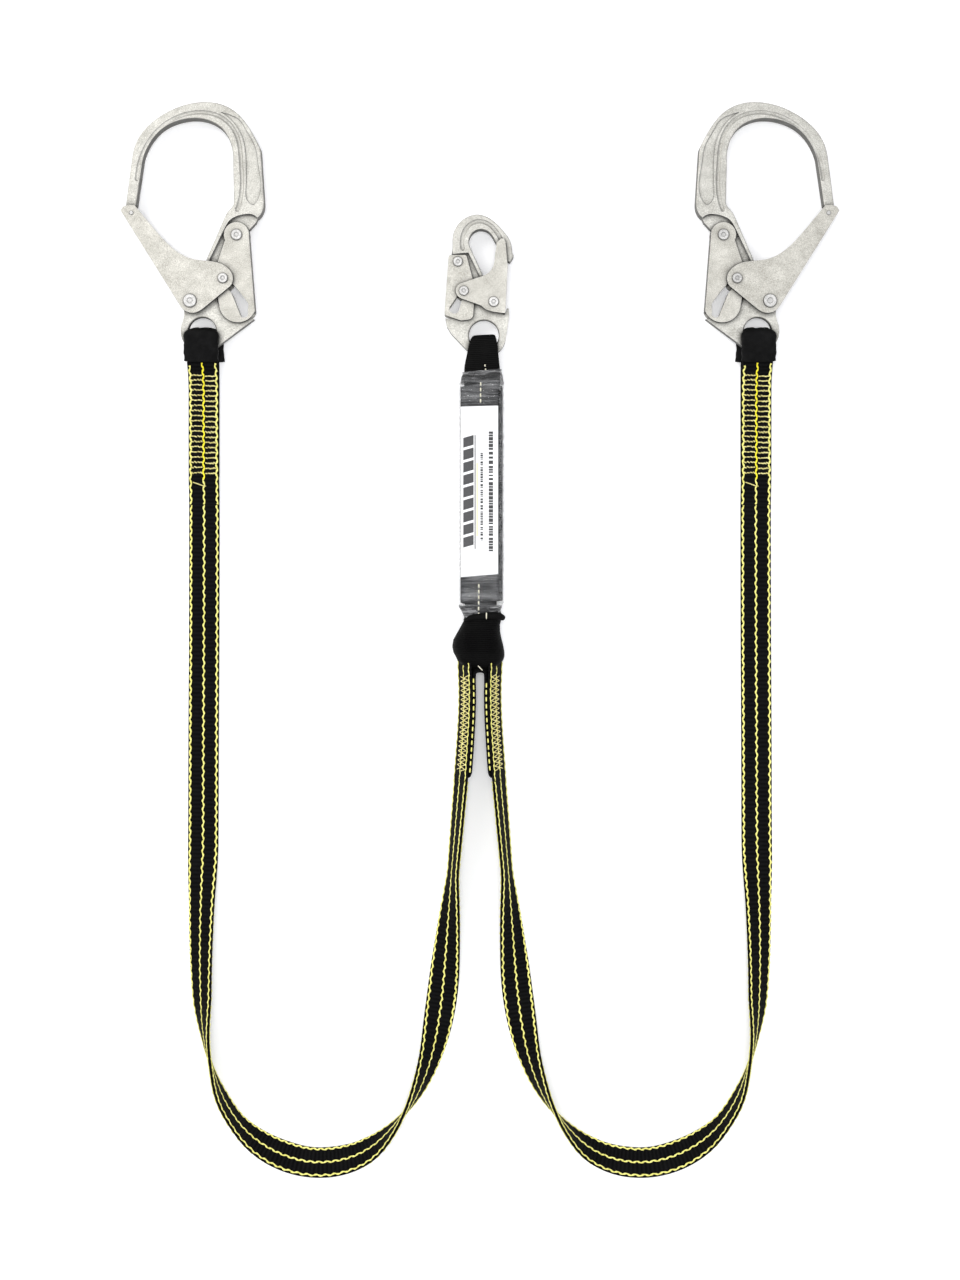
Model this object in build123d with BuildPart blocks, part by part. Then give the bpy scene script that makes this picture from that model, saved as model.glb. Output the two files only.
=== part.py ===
"""Twin-leg shock absorbing lanyard, laid out flat on a table.

Frame: +X to the right, +Y towards the snap hook, +Z up off the table, millimetres.
The origin is on the table under the middle of everything but the two free legs.
Hook pieces are drawn in a hook's own plane: its origin is the centre of the webbing eye
at mid thickness, with the bow up along +Y.
"""
from build123d import *
from math import atan2, cos, degrees, radians, sin, tan
import os

os.makedirs("parts", exist_ok=True)

# ---------------------------------------------------------------- driving dimensions
WEB_WIDTH = 27.0            # polyester webbing
WEB_THICK = 3.0
GAP = 0.1                   # between layers of webbing
FIT = 0.05                  # radial running clearance of the pivots

REBAR_EYE = (-244.0, 97.2)  # left rebar hook's webbing eye, the right one is its mirror image
REBAR_TOP = 200.4           # eye centre to the top of the bow
SNAP_EYE = (3.4, 93.8)      # snap hook's webbing eye

# sewn loop at a rebar hook, along Y from its eye
SEW_START, SEW_END, DIP_END = -45.0, -127.0, -152.0
SLEEVE_SKIN = 1.3           # wear sleeve round the strap in the eye

# shock pack, along Y between its two end seams
PACK_TOP, PACK_BOTTOM = 50.0, -142.7
NECK_TOP, NECK_BOTTOM = 61.4, -152.4
PACK_HEIGHT = 26.0
COVER_SKIN = 0.8
TAIL_Z = 13.0               # the loops' sewn tails lie at mid height
TAIL_END_TOP, TAIL_END_BOTTOM = 5.0, -100.0

# knot of the junction loop and the two legs
KNOT_Y = -194.5             # where the junction loop turns back under the saddle
KNOT_TOP = 27.8             # its upper layer, over the saddle standing on edge
KNOT_HALF_WIDTH = 8.5       # gathered, to pass between the two legs
SADDLE_TOP = -190.0         # the legs' own strap, through the junction loop
BRIDGE_TOP = -199.5         # the short strap sewn inside it, below the loop
SADDLE_Z = (3.2, 26.0)      # it stands on edge, above the junction loop's lower layer
WALL = WEB_THICK - 0.4
LEG_END_X, LEG_END_Y = 16.7, -297.6   # lower ends of the sewn saddle

NOSE_PIN = (-61.6, 102.8)   # small pin across the tip of the rebar gate
NOSE_PIN_R = 1.85
PANEL_DEPTH = 0.7           # hollowed panel on each face of the rebar bow's back limb

REBAR = {
    "plane": Plane((REBAR_EYE[0], REBAR_EYE[1], 11.0)),
    "tongue": 4.0, "bow": 6.5,              # half thicknesses
    "lever": (4.4, 6.4), "gate": (6.8, 8.8),  # inner and outer face of each side plate
    "eye_r": 12.1, "rim_r": 19.1, "cheek_r": 6.6,
    "lever_pivot": (30.3, 84.1), "gate_pivot": (-10.2, 25.8), "lock_pin": (18.6, 45.6),
    "shank_r": 3.0, "lock_r": 2.5, "slot_width": 6.2,
    "lever_head_r": 4.8, "gate_head_r": 5.8, "lock_head_r": 4.4, "head": 1.4,
    "gate_travel": -40.0, "lever_travel": -12.0,   # degrees about +Z
}
SNAP = {
    "plane": Plane((SNAP_EYE[0], SNAP_EYE[1], 10.0)),
    "tongue": 3.5, "bow": 5.5,
    "lever": (3.9, 5.7), "gate": (6.1, 7.9),
    "eye_r": 13.2, "rim_r": 19.6, "cheek_r": 7.0,
    "lever_pivot": (-22.8, 64.2), "gate_pivot": (8.6, 28.6), "lock_pin": (-17.6, 38.2),
    "shank_r": 2.6, "lock_r": 2.2, "slot_width": 5.6,
    "lever_head_r": 4.2, "gate_head_r": 4.4, "lock_head_r": 4.2, "head": 1.3,
    "gate_travel": 30.0, "lever_travel": 10.0,
}


# ---------------------------------------------------------------- helpers
def write(part, name):
    part.label = name
    export_step(part, f"parts/{name}.step")


def write_pair(part, name):
    """The left-hand piece and its mirror image."""
    write(part, "left_" + name)
    write(mirror(part, about=Plane.YZ), "right_" + name)


def turned(point, centre, angle):
    """A point turned about a centre by an angle in degrees."""
    x, y = point[0] - centre[0], point[1] - centre[1]
    c, s = cos(radians(angle)), sin(radians(angle))
    return (centre[0] + c * x - s * y, centre[1] + s * x + c * y)


def lock_pin_in_lever(hook, share):
    """Where the gate's lock pin stands in the lever when both have made a share of their travel."""
    pin = turned(hook["lock_pin"], hook["gate_pivot"], share * hook["gate_travel"])
    return turned(pin, hook["lever_pivot"], -share * hook["lever_travel"])


def outline(*points, mode=Mode.ADD):
    """Closed polygon through the points, in the sketch being built."""
    with BuildLine(mode=Mode.PRIVATE) as edge:
        Polyline(*points, close=True)
    make_face(edge.edges(), mode=mode)


# ---------------------------------------------------------------- hook hardware
def channel(hook, faces, plate, web_points):
    """Folded sheet channel: two side plates of one outline, joined by a web along one edge."""
    inner, outer = faces
    with BuildPart() as sheet:
        with BuildSketch(hook["plane"]):
            add(plate)
        extrude(amount=outer, both=True)
        with BuildSketch(hook["plane"]):
            add(plate)
            outline(*web_points, mode=Mode.SUBTRACT)
        extrude(amount=inner, both=True, mode=Mode.SUBTRACT)
    return sheet.part


def rivet(hook, centre, shank_r, head_r, grip):
    """Headed pin across the hook, its heads standing on faces at plus and minus grip."""
    reach = grip + FIT
    with BuildPart() as pin:
        with BuildSketch(hook["plane"]):
            with Locations(centre):
                Circle(shank_r)
        extrude(amount=reach, both=True)
        for side in (1, -1):
            with BuildSketch(hook["plane"].offset(side * reach)):
                with Locations(centre):
                    Circle(head_r)
            extrude(amount=side * hook["head"])
        rims = pin.edges().filter_by(GeomType.CIRCLE).sort_by(Axis.Z)
        chamfer([rims[0], rims[-1]], length=0.6)
        for side in (1, -1):
            with BuildSketch(hook["plane"].offset(side * (reach + hook["head"] - 0.5))):
                with Locations(centre):
                    Circle(head_r * 0.45)
            extrude(amount=side, mode=Mode.SUBTRACT)
    return pin.part


def torsion_springs(hook, centre, low, coil_r, wire_r):
    """One close-wound coil and a half on each side of the hook, round a pivot."""
    pitch = 2.05 * wire_r
    foot = hook["plane"].origin + Vector(*centre, low + wire_r)
    with BuildPart() as coils:
        with BuildLine(Plane(foot)):
            turn = Helix(pitch=pitch, height=1.5 * pitch, radius=coil_r)
        with BuildSketch(Plane(turn @ 0, z_dir=turn % 0)):
            Circle(wire_r)
        sweep(path=turn, is_frenet=True)
        mirror(about=hook["plane"])
    return coils.part


def pierce(part, hook, centre, radius):
    """The part with a round hole through it along Z."""
    with BuildPart() as pierced:
        add(part)
        with BuildSketch(hook["plane"]):
            with Locations(centre):
                Circle(radius)
        extrude(amount=40, both=True, mode=Mode.SUBTRACT)
    return pierced.part


def lever_with_slot(part, hook, run_out, end_r):
    """The lever with its pivot holes and the slot that the lock pin slides in, wider at its end."""
    start = lock_pin_in_lever(hook, 0)
    middle = lock_pin_in_lever(hook, 0.5)
    end = lock_pin_in_lever(hook, 1)
    with BuildPart() as slotted:
        add(part)
        with BuildSketch(hook["plane"]):
            with BuildLine(mode=Mode.PRIVATE) as track:
                ThreePointArc(start, middle, end)
                Line(end, run_out)
            SlotArc(arc=track.wires()[0], height=hook["slot_width"])
            with Locations(hook["lever_pivot"]):
                Circle(hook["shank_r"] + FIT)
        extrude(amount=40, both=True, mode=Mode.SUBTRACT)
        with BuildSketch(hook["plane"]):
            with Locations(middle):
                Circle(hook["slot_width"] / 2)
            with Locations(run_out):
                Circle(end_r)
            make_hull()
        extrude(amount=40, both=True, mode=Mode.SUBTRACT)
    return slotted.part


def spring_seat(part, hook):
    """The frame with a counterbore on each face for the lever spring, round the lever pivot."""
    with BuildPart() as seated:
        add(part)
        for side in (1, -1):
            with BuildSketch(hook["plane"].offset(side * (hook["tongue"] - 2.6))):
                with Locations(hook["lever_pivot"]):
                    Circle(6.4)
            extrude(amount=side * 2.6, mode=Mode.SUBTRACT)
    return seated.part


def frame_holes(part, hook):
    """The frame with its webbing eye, its edges eased, and its two rivet holes."""
    with BuildPart() as drilled:
        add(part)
        with BuildSketch(hook["plane"]):
            Circle(hook["eye_r"])
            with Locations(hook["lever_pivot"], hook["gate_pivot"]):
                Circle(hook["shank_r"] + 0.02)
        extrude(amount=40, both=True, mode=Mode.SUBTRACT)
        eye = drilled.edges().filter_by(GeomType.CIRCLE).filter_by(
            lambda edge: abs(edge.radius - hook["eye_r"]) < 0.01)
        fillet(eye, radius=1.4)
    return spring_seat(drilled.part, hook)


def groove(hook, points, face):
    """Shallow rounded valleys in both faces, beside the bead that stiffens the inner edge."""
    radius, depth = 2.6, 0.9
    with BuildPart() as valley:
        with BuildLine(hook["plane"].offset(face + radius - depth)):
            track = Spline(*points)
        with BuildSketch(Plane(track @ 0, z_dir=track % 0)):
            Circle(radius)
        sweep(path=track)
        with Locations(track @ 0, track @ 1):
            Sphere(radius)
        mirror(about=hook["plane"])
    return valley.part


def rebar_bow(hook):
    """Forged bow: a long thin arm, a round top and a deep back limb, fading to a rail."""
    with BuildPart() as bow:
        with BuildSketch(hook["plane"]):
            with BuildLine():
                arm_out = Line((-67.3, 105.6), (-61.3, 151.6))
                back_out = Line((52.6, 142.8), (54.5, 112.9))
                Spline(arm_out @ 1, (-43.2, 183.3), (-2.4, REBAR_TOP), (33.7, 188.1), (50.6, 161.3),
                       back_out @ 0, tangents=(arm_out % 1, back_out % 0))
                heel = Spline(back_out @ 1, (48.7, 98.8), tangents=(back_out % 1, (-0.8, -0.6)))
                step = Spline(heel @ 1, (35.5, 101.7), (25.8, 97.9), (19.6, 89.1),
                              tangents=((-0.6, 0.8), (-0.46, -0.89)))
                rail_out = Line(step @ 1, (6.0, 61.0))
                rail_end = Line(rail_out @ 1, (3.4, 61.0))
                rail_in = Line(rail_end @ 1, (21.0, 101.6))
                back_in = Line((28.2, 114.0), (27.4, 148.0))
                Spline(rail_in @ 1, back_in @ 0, tangents=(rail_in % 1, back_in % 0))
                arm_in = Line((-51.8, 150.7), (-57.8, 110.0))
                Spline(back_in @ 1, (25.2, 164.5), (16.8, 178.0), (1.0, 185.6), (-18.0, 184.9),
                       (-35.0, 177.2), (-46.6, 163.6), arm_in @ 0)
                Line(arm_in @ 1, arm_out @ 0)
            make_face()
        extrude(amount=hook["bow"], both=True)
        round_edges = bow.edges().filter_by(
            lambda edge: abs(edge.tangent_at(0.5).Z) < 0.1 and edge.center().Y > REBAR_EYE[1] + 112)
        fillet(round_edges, radius=1.0)
        add(groove(hook, [(-57.0, 133.0), (-51.6, 156.0), (-40.6, 173.6), (-21.0, 187.4), (0.5, 191.4),
                          (19.6, 185.4), (31.0, 170.0), (34.4, 148.0), (34.6, 120.0), (31.0, 106.0)],
                   hook["bow"]), mode=Mode.SUBTRACT)
        for side in (1, -1):
            with BuildSketch(hook["plane"].offset(side * (hook["bow"] - PANEL_DEPTH))):
                with BuildLine():
                    Spline((17.0, 191.0), (28.8, 181.0), (36.4, 166.0), (38.6, 146.0), (38.4, 124.0),
                           (40.0, 113.6), (45.0, 110.2), (49.2, 114.6), (49.6, 146.0), (46.8, 161.6),
                           (38.4, 177.2), (26.6, 188.6), periodic=True)
                make_face()
            extrude(amount=side * 3, mode=Mode.SUBTRACT)
    return bow.part


def rebar_frame(hook):
    """Bow and the thin tongue that carries both pivots and the webbing eye."""
    c = hook["gate_pivot"]
    with BuildPart() as frame:
        add(rebar_bow(hook))
        with BuildSketch(hook["plane"]):
            outline((50.0, 101.5), (47.0, 95.0), (41.8, 89.4), (38.7, 87.4), (37.6, 79.0), (25.8, 71.5),
                    (14.3, 55.7), (9.9, 40.7), (13.5, 24.9), (22.3, 10.4), (45.6, 10.4),
                    (13.4, -13.6), (-13.5, -13.5), (-18.6, 3.0), (-15.8, 14.0),
                    (c[0] - 6.0, c[1] - 2.7), (c[0] - 5.3, c[1] + 3.9), (3.4, 61.0), (22.0, 103.0))
            Circle(hook["rim_r"])
            with Locations(c):
                Circle(hook["cheek_r"])
        extrude(amount=hook["tongue"], both=True)
    return frame_holes(frame.part, hook)


def rebar_gate(hook):
    """Wide gate: side plates run from the nose to the lock pin, web along the outer edge."""
    with BuildSketch() as side:
        with BuildLine():
            upper = Spline((-56.8, 107.2), (-43.4, 91.2), (-24.8, 71.4), (-9.0, 62.6), (9.0, 60.2),
                           (20.6, 56.2), (27.4, 46.6), (24.2, 37.8),
                           tangents=((0.64, -0.77), (-0.78, -0.62)))
            under = Line(upper @ 1, (1.0, 18.8))
            toe = Spline(under @ 1, (-9.0, 15.2), (-19.0, 21.6), tangents=(under % 1, (-0.53, 0.85)))
            Polyline(toe @ 1, (-71.0, 104.8), (-69.0, 108.2), (-64.0, 109.8), (-58.6, 109.4), upper @ 0)
        make_face()
    plate = channel(hook, hook["gate"], side.sketch_local,
                    [(-67.0, 96.5), (-21.9, 24.4), (-19.5, 25.9), (-63.5, 96.4)])
    plate = pierce(plate, hook, hook["gate_pivot"], hook["shank_r"] + FIT)
    plate = pierce(plate, hook, hook["lock_pin"], hook["lock_r"] + 0.02)
    return pierce(plate, hook, NOSE_PIN, NOSE_PIN_R + 0.02)


def rebar_lever(hook):
    """Long lock lever: rounded at its pivot, web down the back edge."""
    with BuildSketch() as side:
        with BuildLine():
            back = Line((40.8, 88.0), (46.4, 17.0))
            toe = ThreePointArc(back @ 1, (32.6, 7.2), (15.2, 23.0))
            Polyline(toe @ 1, (12.2, 38.0), (12.2, 50.0), (14.2, 61.0), (20.4, 79.5), (22.0, 88.0), back @ 0)
        make_face()
        with Locations(hook["lever_pivot"]):
            Circle(11.0)
    plate = channel(hook, hook["lever"], side.sketch_local,
                    [(40.8, 86.4), (39.0, 86.4), (44.0, 17.0), (50.0, 17.0), (50.0, 86.4)])
    return lever_with_slot(plate, hook, (37.0, 14.8), 3.5)


def snap_bow(hook):
    """Forged bow of the snap hook: a round top, a straight back and a curled nose."""
    with BuildPart() as bow:
        with BuildSketch(hook["plane"]):
            with BuildLine():
                back_out = Line((-27.5, 70.9), (-27.5, 83.0))
                outer = Spline(back_out @ 1, (-25.6, 92.0), (-17.4, 101.8), (-4.7, 105.6), (7.9, 100.4),
                               (17.9, 90.2), (24.3, 78.4), (25.4, 71.0), (22.8, 63.8),
                               tangents=(back_out % 1, (-0.6, -0.8)))
                nose = Line(outer @ 1, (19.6, 66.0))
                inner = Spline(nose @ 1, (16.0, 73.0), (11.2, 79.7), (4.6, 89.9), (-2.8, 92.6),
                               (-9.4, 90.0), (-13.0, 83.4), (-12.2, 77.0),
                               tangents=((-0.3, 0.95), (0.35, -0.94)))
                foot = Line(inner @ 1, (-0.5, 51.7))
                Polyline(foot @ 1, (-3.6, 51.7), (-13.6, 72.2), back_out @ 0)
            make_face()
        extrude(amount=hook["bow"], both=True)
        round_edges = bow.edges().filter_by(
            lambda edge: abs(edge.tangent_at(0.5).Z) < 0.1 and edge.center().Y > SNAP_EYE[1] + 76)
        fillet(round_edges, radius=1.0)
        add(groove(hook, [(-18.6, 75.6), (-18.4, 87.0), (-13.2, 96.0), (-4.3, 99.6), (5.0, 96.6),
                          (11.4, 89.8), (15.6, 82.6)], hook["bow"]), mode=Mode.SUBTRACT)
    return bow.part


def snap_frame(hook):
    c = hook["gate_pivot"]
    with BuildPart() as frame:
        add(snap_bow(hook))
        with BuildSketch(hook["plane"]):
            outline((-27.5, 76.0), (-29.0, 66.0), (-27.6, 59.0), (-13.0, 48.0), (-11.5, 36.0),
                    (-13.5, 20.0), (-17.0, 14.5), (-34.0, 14.5), (-32.4, 7.0), (-28.6, 1.0), (-13.8, -14.4),
                    (14.0, -13.9), (19.4, -2.5), (22.4, 17.8), (21.8, 23.4), (20.4, 23.4),
                    (18.0, 17.4), (c[0] + 2.0, c[1] - 6.9), (c[0] + 6.2, c[1] + 3.2), (2.6, 51.7),
                    (-1.5, 52.5), (-13.0, 76.0))
            Circle(hook["rim_r"])
            with Locations(c):
                Circle(hook["cheek_r"])
        extrude(amount=hook["tongue"], both=True)
    return frame_holes(frame.part, hook)


def snap_gate(hook):
    """Gate of the snap hook: side plates reach back to the lock pin, web along the outer edge."""
    with BuildSketch() as side:
        with BuildLine():
            top = Line((-19.8, 44.8), (-1.0, 51.2))
            blade = Spline(top @ 1, (5.0, 54.8), (8.6, 60.8), (9.7, 69.4), (10.9, 77.4), (15.2, 84.0),
                           tangents=(top % 1, (0.8, 0.6)))
            Polyline(blade @ 1, (17.6, 84.0), (19.0, 81.0), (20.9, 60.0), (18.9, 18.4), (8.0, 19.8),
                     (2.0, 21.6), (-2.2, 25.2), (-19.9, 31.5), top @ 0)
        make_face()
        fillet(side.vertices().filter_by(lambda v: v.X > 17 and abs(v.Y - 60) > 10), radius=1.2)
        with Locations(hook["lock_pin"]):
            Circle(7.0)
    plate = channel(hook, hook["gate"], side.sketch_local,
                    [(30.0, 58.0), (18.9, 58.0), (16.7, 27.0), (30.0, 27.0)])
    plate = pierce(plate, hook, hook["gate_pivot"], hook["shank_r"] + FIT)
    return pierce(plate, hook, hook["lock_pin"], hook["lock_r"] + 0.02)


def snap_lever(hook):
    """Short lock lever of the snap hook, web down the back edge."""
    with BuildSketch() as side:
        outline((-31.0, 70.0), (-15.4, 70.0), (-9.6, 48.2), (-8.8, 24.8), (-9.6, 13.8), (-20.0, 12.4),
                (-34.8, 17.4))
        toe = side.vertices().filter_by(lambda v: v.X > -12 and v.Y < 15)
        fillet(toe, radius=4.5)
        fillet(side.vertices().filter_by(lambda v: v.Y > 60 or v.X < -15 and v.Y < 20), radius=2.0)
    plate = channel(hook, hook["lever"], side.sketch_local,
                    [(-32.4, 68.0), (-30.2, 68.0), (-32.8, 20.6), (-40.0, 20.6), (-40.0, 68.0)])
    return lever_with_slot(plate, hook, (-25.8, 22.8), 4.3)


def hook_set(hook, frame, gate, lever, store, prefix):
    """The pieces that every hook has."""
    write_one = {"pair": write_pair, "single": write}[store]
    lever_grip = hook["lever"][1]
    gate_grip = hook["gate"][1]
    write_one(frame, prefix + "hook_frame")
    write_one(gate, prefix + "gate")
    write_one(lever, prefix + "lock_lever")
    write_one(rivet(hook, hook["lever_pivot"], hook["shank_r"], hook["lever_head_r"], lever_grip),
              prefix + "lever_rivet")
    write_one(rivet(hook, hook["gate_pivot"], hook["shank_r"], hook["gate_head_r"], gate_grip),
              prefix + "gate_rivet")
    write_one(rivet(hook, hook["lock_pin"], hook["lock_r"], hook["lock_head_r"], gate_grip),
              prefix + "lock_pin")
    write_one(torsion_springs(hook, hook["gate_pivot"], hook["tongue"] + 0.15, 4.9, 0.42),
              prefix + "gate_spring")
    write_one(torsion_springs(hook, hook["lever_pivot"], hook["tongue"] - 2.4, 4.9, 0.4),
              prefix + "lever_spring")


hook_set(REBAR, rebar_frame(REBAR), rebar_gate(REBAR), rebar_lever(REBAR), "pair", "")
hook_set(SNAP, snap_frame(SNAP), snap_gate(SNAP), snap_lever(SNAP), "single", "snap_")

with BuildPart() as nose_pin:
    with BuildSketch(REBAR["plane"]):
        with Locations(NOSE_PIN):
            Circle(NOSE_PIN_R)
    extrude(amount=REBAR["gate"][1] + 0.6, both=True)
    chamfer(nose_pin.edges().filter_by(GeomType.CIRCLE), length=0.4)
write_pair(nose_pin.part, "nose_pin")


# ---------------------------------------------------------------- sewn loops
def strap_profile(x_plane, points, thickness):
    """Face of a strap seen edge on: a band of one thickness along straight runs, round at each bend."""
    with BuildSketch(x_plane) as band:
        for start, end in zip(points, points[1:]):
            run = Vector(*end) - Vector(*start)
            with Locations(((start[0] + end[0]) / 2, (start[1] + end[1]) / 2)):
                SlotCenterToCenter(run.length, thickness, rotation=degrees(atan2(run.Y, run.X)))
    return band.sketch


def strap(x_plane, points, thickness, width_outline):
    """A strap: its edge-on band, as wide as the plan outline it is cut to."""
    with BuildPart() as woven:
        extrude(strap_profile(x_plane, points, thickness), amount=60, dir=(1, 0, 0), both=True)
        with BuildSketch(Plane.XY):
            outline(*width_outline)
        extrude(amount=60, mode=Mode.INTERSECT)
    return woven.part


def eye_outline(centre, narrow, wide, top, taper_top, taper_end, end):
    """Plan outline of a strap that gathers to pass an eye and spreads again below it."""
    x, y = centre
    return [(x - narrow, y + top), (x + narrow, y + top), (x + narrow, y + taper_top),
            (x + wide, y + taper_end), (x + wide, y + end), (x - wide, y + end),
            (x - wide, y + taper_end), (x - narrow, y + taper_top)]


def side_plane(x):
    """Plane seen along X, its own x along +Y and its own y along +Z."""
    return Plane((x, 0, 0), x_dir=(0, 1, 0), z_dir=(1, 0, 0))


mid = REBAR["plane"].origin.Z
over = REBAR["tongue"] + 0.6 + SLEEVE_SKIN + GAP + WEB_THICK / 2   # strap centre off mid thickness
eye_y = REBAR_EYE[1]
bight_y = eye_y - 3.9
layer = WEB_THICK / 2
top_layer = layer + WEB_THICK + GAP
loop_path = [(eye_y + SEW_END, layer), (eye_y + SEW_START, layer), (eye_y - 28, mid - over),
             (bight_y, mid - over), (bight_y, mid + over), (eye_y - 28, mid + over),
             (eye_y + SEW_START - 6, top_layer), (eye_y + SEW_END - 3, top_layer),
             (eye_y + SEW_END - 17, layer), (eye_y + DIP_END, layer)]
hook_loop = strap(side_plane(REBAR_EYE[0]), loop_path, WEB_THICK,
                  eye_outline(REBAR_EYE, 8.2, WEB_WIDTH / 2, 10, -7.6, -8.6, DIP_END))
write_pair(hook_loop, "hook_loop")

sleeve_path = [(eye_y - 27.5, mid - over), (bight_y, mid - over), (bight_y, mid + over),
               (eye_y - 27.5, mid + over)]
with BuildPart() as sleeve:
    add(strap(side_plane(REBAR_EYE[0]), sleeve_path, WEB_THICK + 2 * (SLEEVE_SKIN + GAP),
              eye_outline(REBAR_EYE, 9.4, 14.9, 10, -7.5, -8.5, -27.5)))
    add(strap(side_plane(REBAR_EYE[0]), loop_path, WEB_THICK + 2 * GAP,
              eye_outline(REBAR_EYE, 8.3, 13.6, 10, -7.6, -8.6, -60)), mode=Mode.SUBTRACT)
write_pair(sleeve.part, "wear_sleeve")

# ---------------------------------------------------------------- shock pack
snap_mid = SNAP["plane"].origin.Z
snap_over = SNAP["tongue"] + 0.6 + WEB_THICK / 2
snap_bight = SNAP_EYE[1] - 6.1
snap_path = [(TAIL_END_TOP, TAIL_Z - layer - GAP), (NECK_TOP + 4, TAIL_Z - layer - GAP),
             (SNAP_EYE[1] - 22, snap_mid - snap_over), (snap_bight, snap_mid - snap_over),
             (snap_bight, snap_mid + snap_over), (SNAP_EYE[1] - 22, snap_mid + snap_over),
             (NECK_TOP + 4, TAIL_Z + layer + GAP), (TAIL_END_TOP, TAIL_Z + layer + GAP)]
snap_loop = strap(side_plane(SNAP_EYE[0]), snap_path, WEB_THICK,
                  [(-6.8, 110), (13.6, 110), (13.6, 80), (16.4, 64), (16.4, TAIL_END_TOP - 10),
                   (-13.6, TAIL_END_TOP - 10), (-13.6, 64), (-6.8, 80)])
write(snap_loop, "snap_loop")

junction_path = [(TAIL_END_BOTTOM, TAIL_Z - layer - GAP), (NECK_BOTTOM - 4, TAIL_Z - layer - GAP),
                 (-172.0, layer), (KNOT_Y, layer), (KNOT_Y, KNOT_TOP), (-172.0, KNOT_TOP),
                 (NECK_BOTTOM - 4, TAIL_Z + layer + GAP), (TAIL_END_BOTTOM, TAIL_Z + layer + GAP)]
junction_loop = strap(side_plane(0), junction_path, WEB_THICK,
                      [(-13.5, 0), (13.5, 0), (13.5, -160), (15.5, -172), (15.5, -190.5),
                       (KNOT_HALF_WIDTH, -191.5), (KNOT_HALF_WIDTH, -215), (-KNOT_HALF_WIDTH, -215),
                       (-KNOT_HALF_WIDTH, -191.5), (-15.5, -190.5), (-15.5, -172), (-13.5, -160)])
write(junction_loop, "junction_loop")


def pack_section(skin):
    """Cross-section of the pack, which leans a little to its right, drawn in by a skin."""
    low, high = skin, PACK_HEIGHT - skin
    with BuildSketch(Plane.XZ.offset(-PACK_TOP)) as section:
        outline((-16.8 + skin, low), (20.4 - skin, low), (22.2 - skin, low + 4), (16.4 - skin, high),
                (-17.8 + skin, high))
        fillet(section.vertices(), radius=2.0)
    return section.sketch


def neck_face(y, half_width, low, high):
    with BuildSketch(Plane.XZ.offset(-y)) as mouth:
        with Locations((1.4, (low + high) / 2)):
            RectangleRounded(2 * half_width, high - low, radius=2.0)
    return mouth.sketch


with BuildPart() as cover:
    extrude(pack_section(0), amount=PACK_TOP - PACK_BOTTOM, dir=(0, -1, 0))
    extrude(pack_section(COVER_SKIN), amount=PACK_TOP - PACK_BOTTOM, dir=(0, -1, 0), mode=Mode.SUBTRACT)
    for y, mouth_y, step in ((PACK_TOP, NECK_TOP, 1), (PACK_BOTTOM, NECK_BOTTOM, -1)):
        loft([neck_face(y - step * COVER_SKIN, 18.4, 2.0, 24.6), neck_face(mouth_y, 16.8, 7.0, 19.0)])
        loft([neck_face(y - step * COVER_SKIN, 17.6, 2.8, 23.8), neck_face(mouth_y, 16.0, 7.8, 18.2)],
             mode=Mode.SUBTRACT)
write(cover.part, "shrink_cover")


def folded_web(low, layers, half_width, top, bottom):
    """Webbing folded to and fro in long layers, seen edge on, its turns at the pack's ends."""
    pitch = 2.3
    points = []
    for index in range(layers):
        ends = (top, bottom) if index % 2 == 0 else (bottom, top)
        height = low + 1.0 + index * pitch
        points += [(ends[0], height), (ends[1], height)]
    return strap(side_plane(0), points, 2.0,
                 [(-half_width, top + 5), (half_width, top + 5), (half_width, bottom - 5),
                  (-half_width, bottom - 5)])


write(folded_web(1.2, 3, 13.5, 40.0, -134.0), "tear_webbing_lower")
write(folded_web(17.0, 3, 13.5, 40.0, -134.0), "tear_webbing_upper")
write(folded_web(10.2, 2, 12.0, -2.0, -93.0), "backup_strap")

with BuildPart() as label:
    with BuildSketch(Plane.XY.offset(PACK_HEIGHT)):
        with Locations((-0.7, -45.0)):
            RectangleRounded(30.0, 148.6, radius=0.8)
    extrude(amount=0.3)
write(label.part, "pack_label")

# ---------------------------------------------------------------- saddle of the two legs

def saddle_wall(inset, top, bend):
    """An inverted U of webbing standing on edge, as seen in plan."""
    end = LEG_END_X - inset
    points = [(-end, LEG_END_Y), (inset - 12.6, -236.0), (inset - 11.4, top), (11.4 - inset, top),
              (12.6 - inset, -236.0), (end, LEG_END_Y)]
    with BuildPart() as wall:
        with BuildSketch():
            with BuildLine(mode=Mode.PRIVATE) as run:
                FilletPolyline(*points, radius=[20.0, bend, bend, 20.0])
            trace(run.wires()[0], line_width=WALL)
        extrude(amount=SADDLE_Z[1])
        with BuildSketch():
            with Locations((0, -207.0)):
                Rectangle(60, 50)
        extrude(amount=SADDLE_Z[0], mode=Mode.SUBTRACT)
    return wall.part


write(saddle_wall(0, SADDLE_TOP, 5.5), "saddle_strap")
write(saddle_wall(WALL + 0.2, BRIDGE_TOP, 3.5), "bridge_strap")

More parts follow.
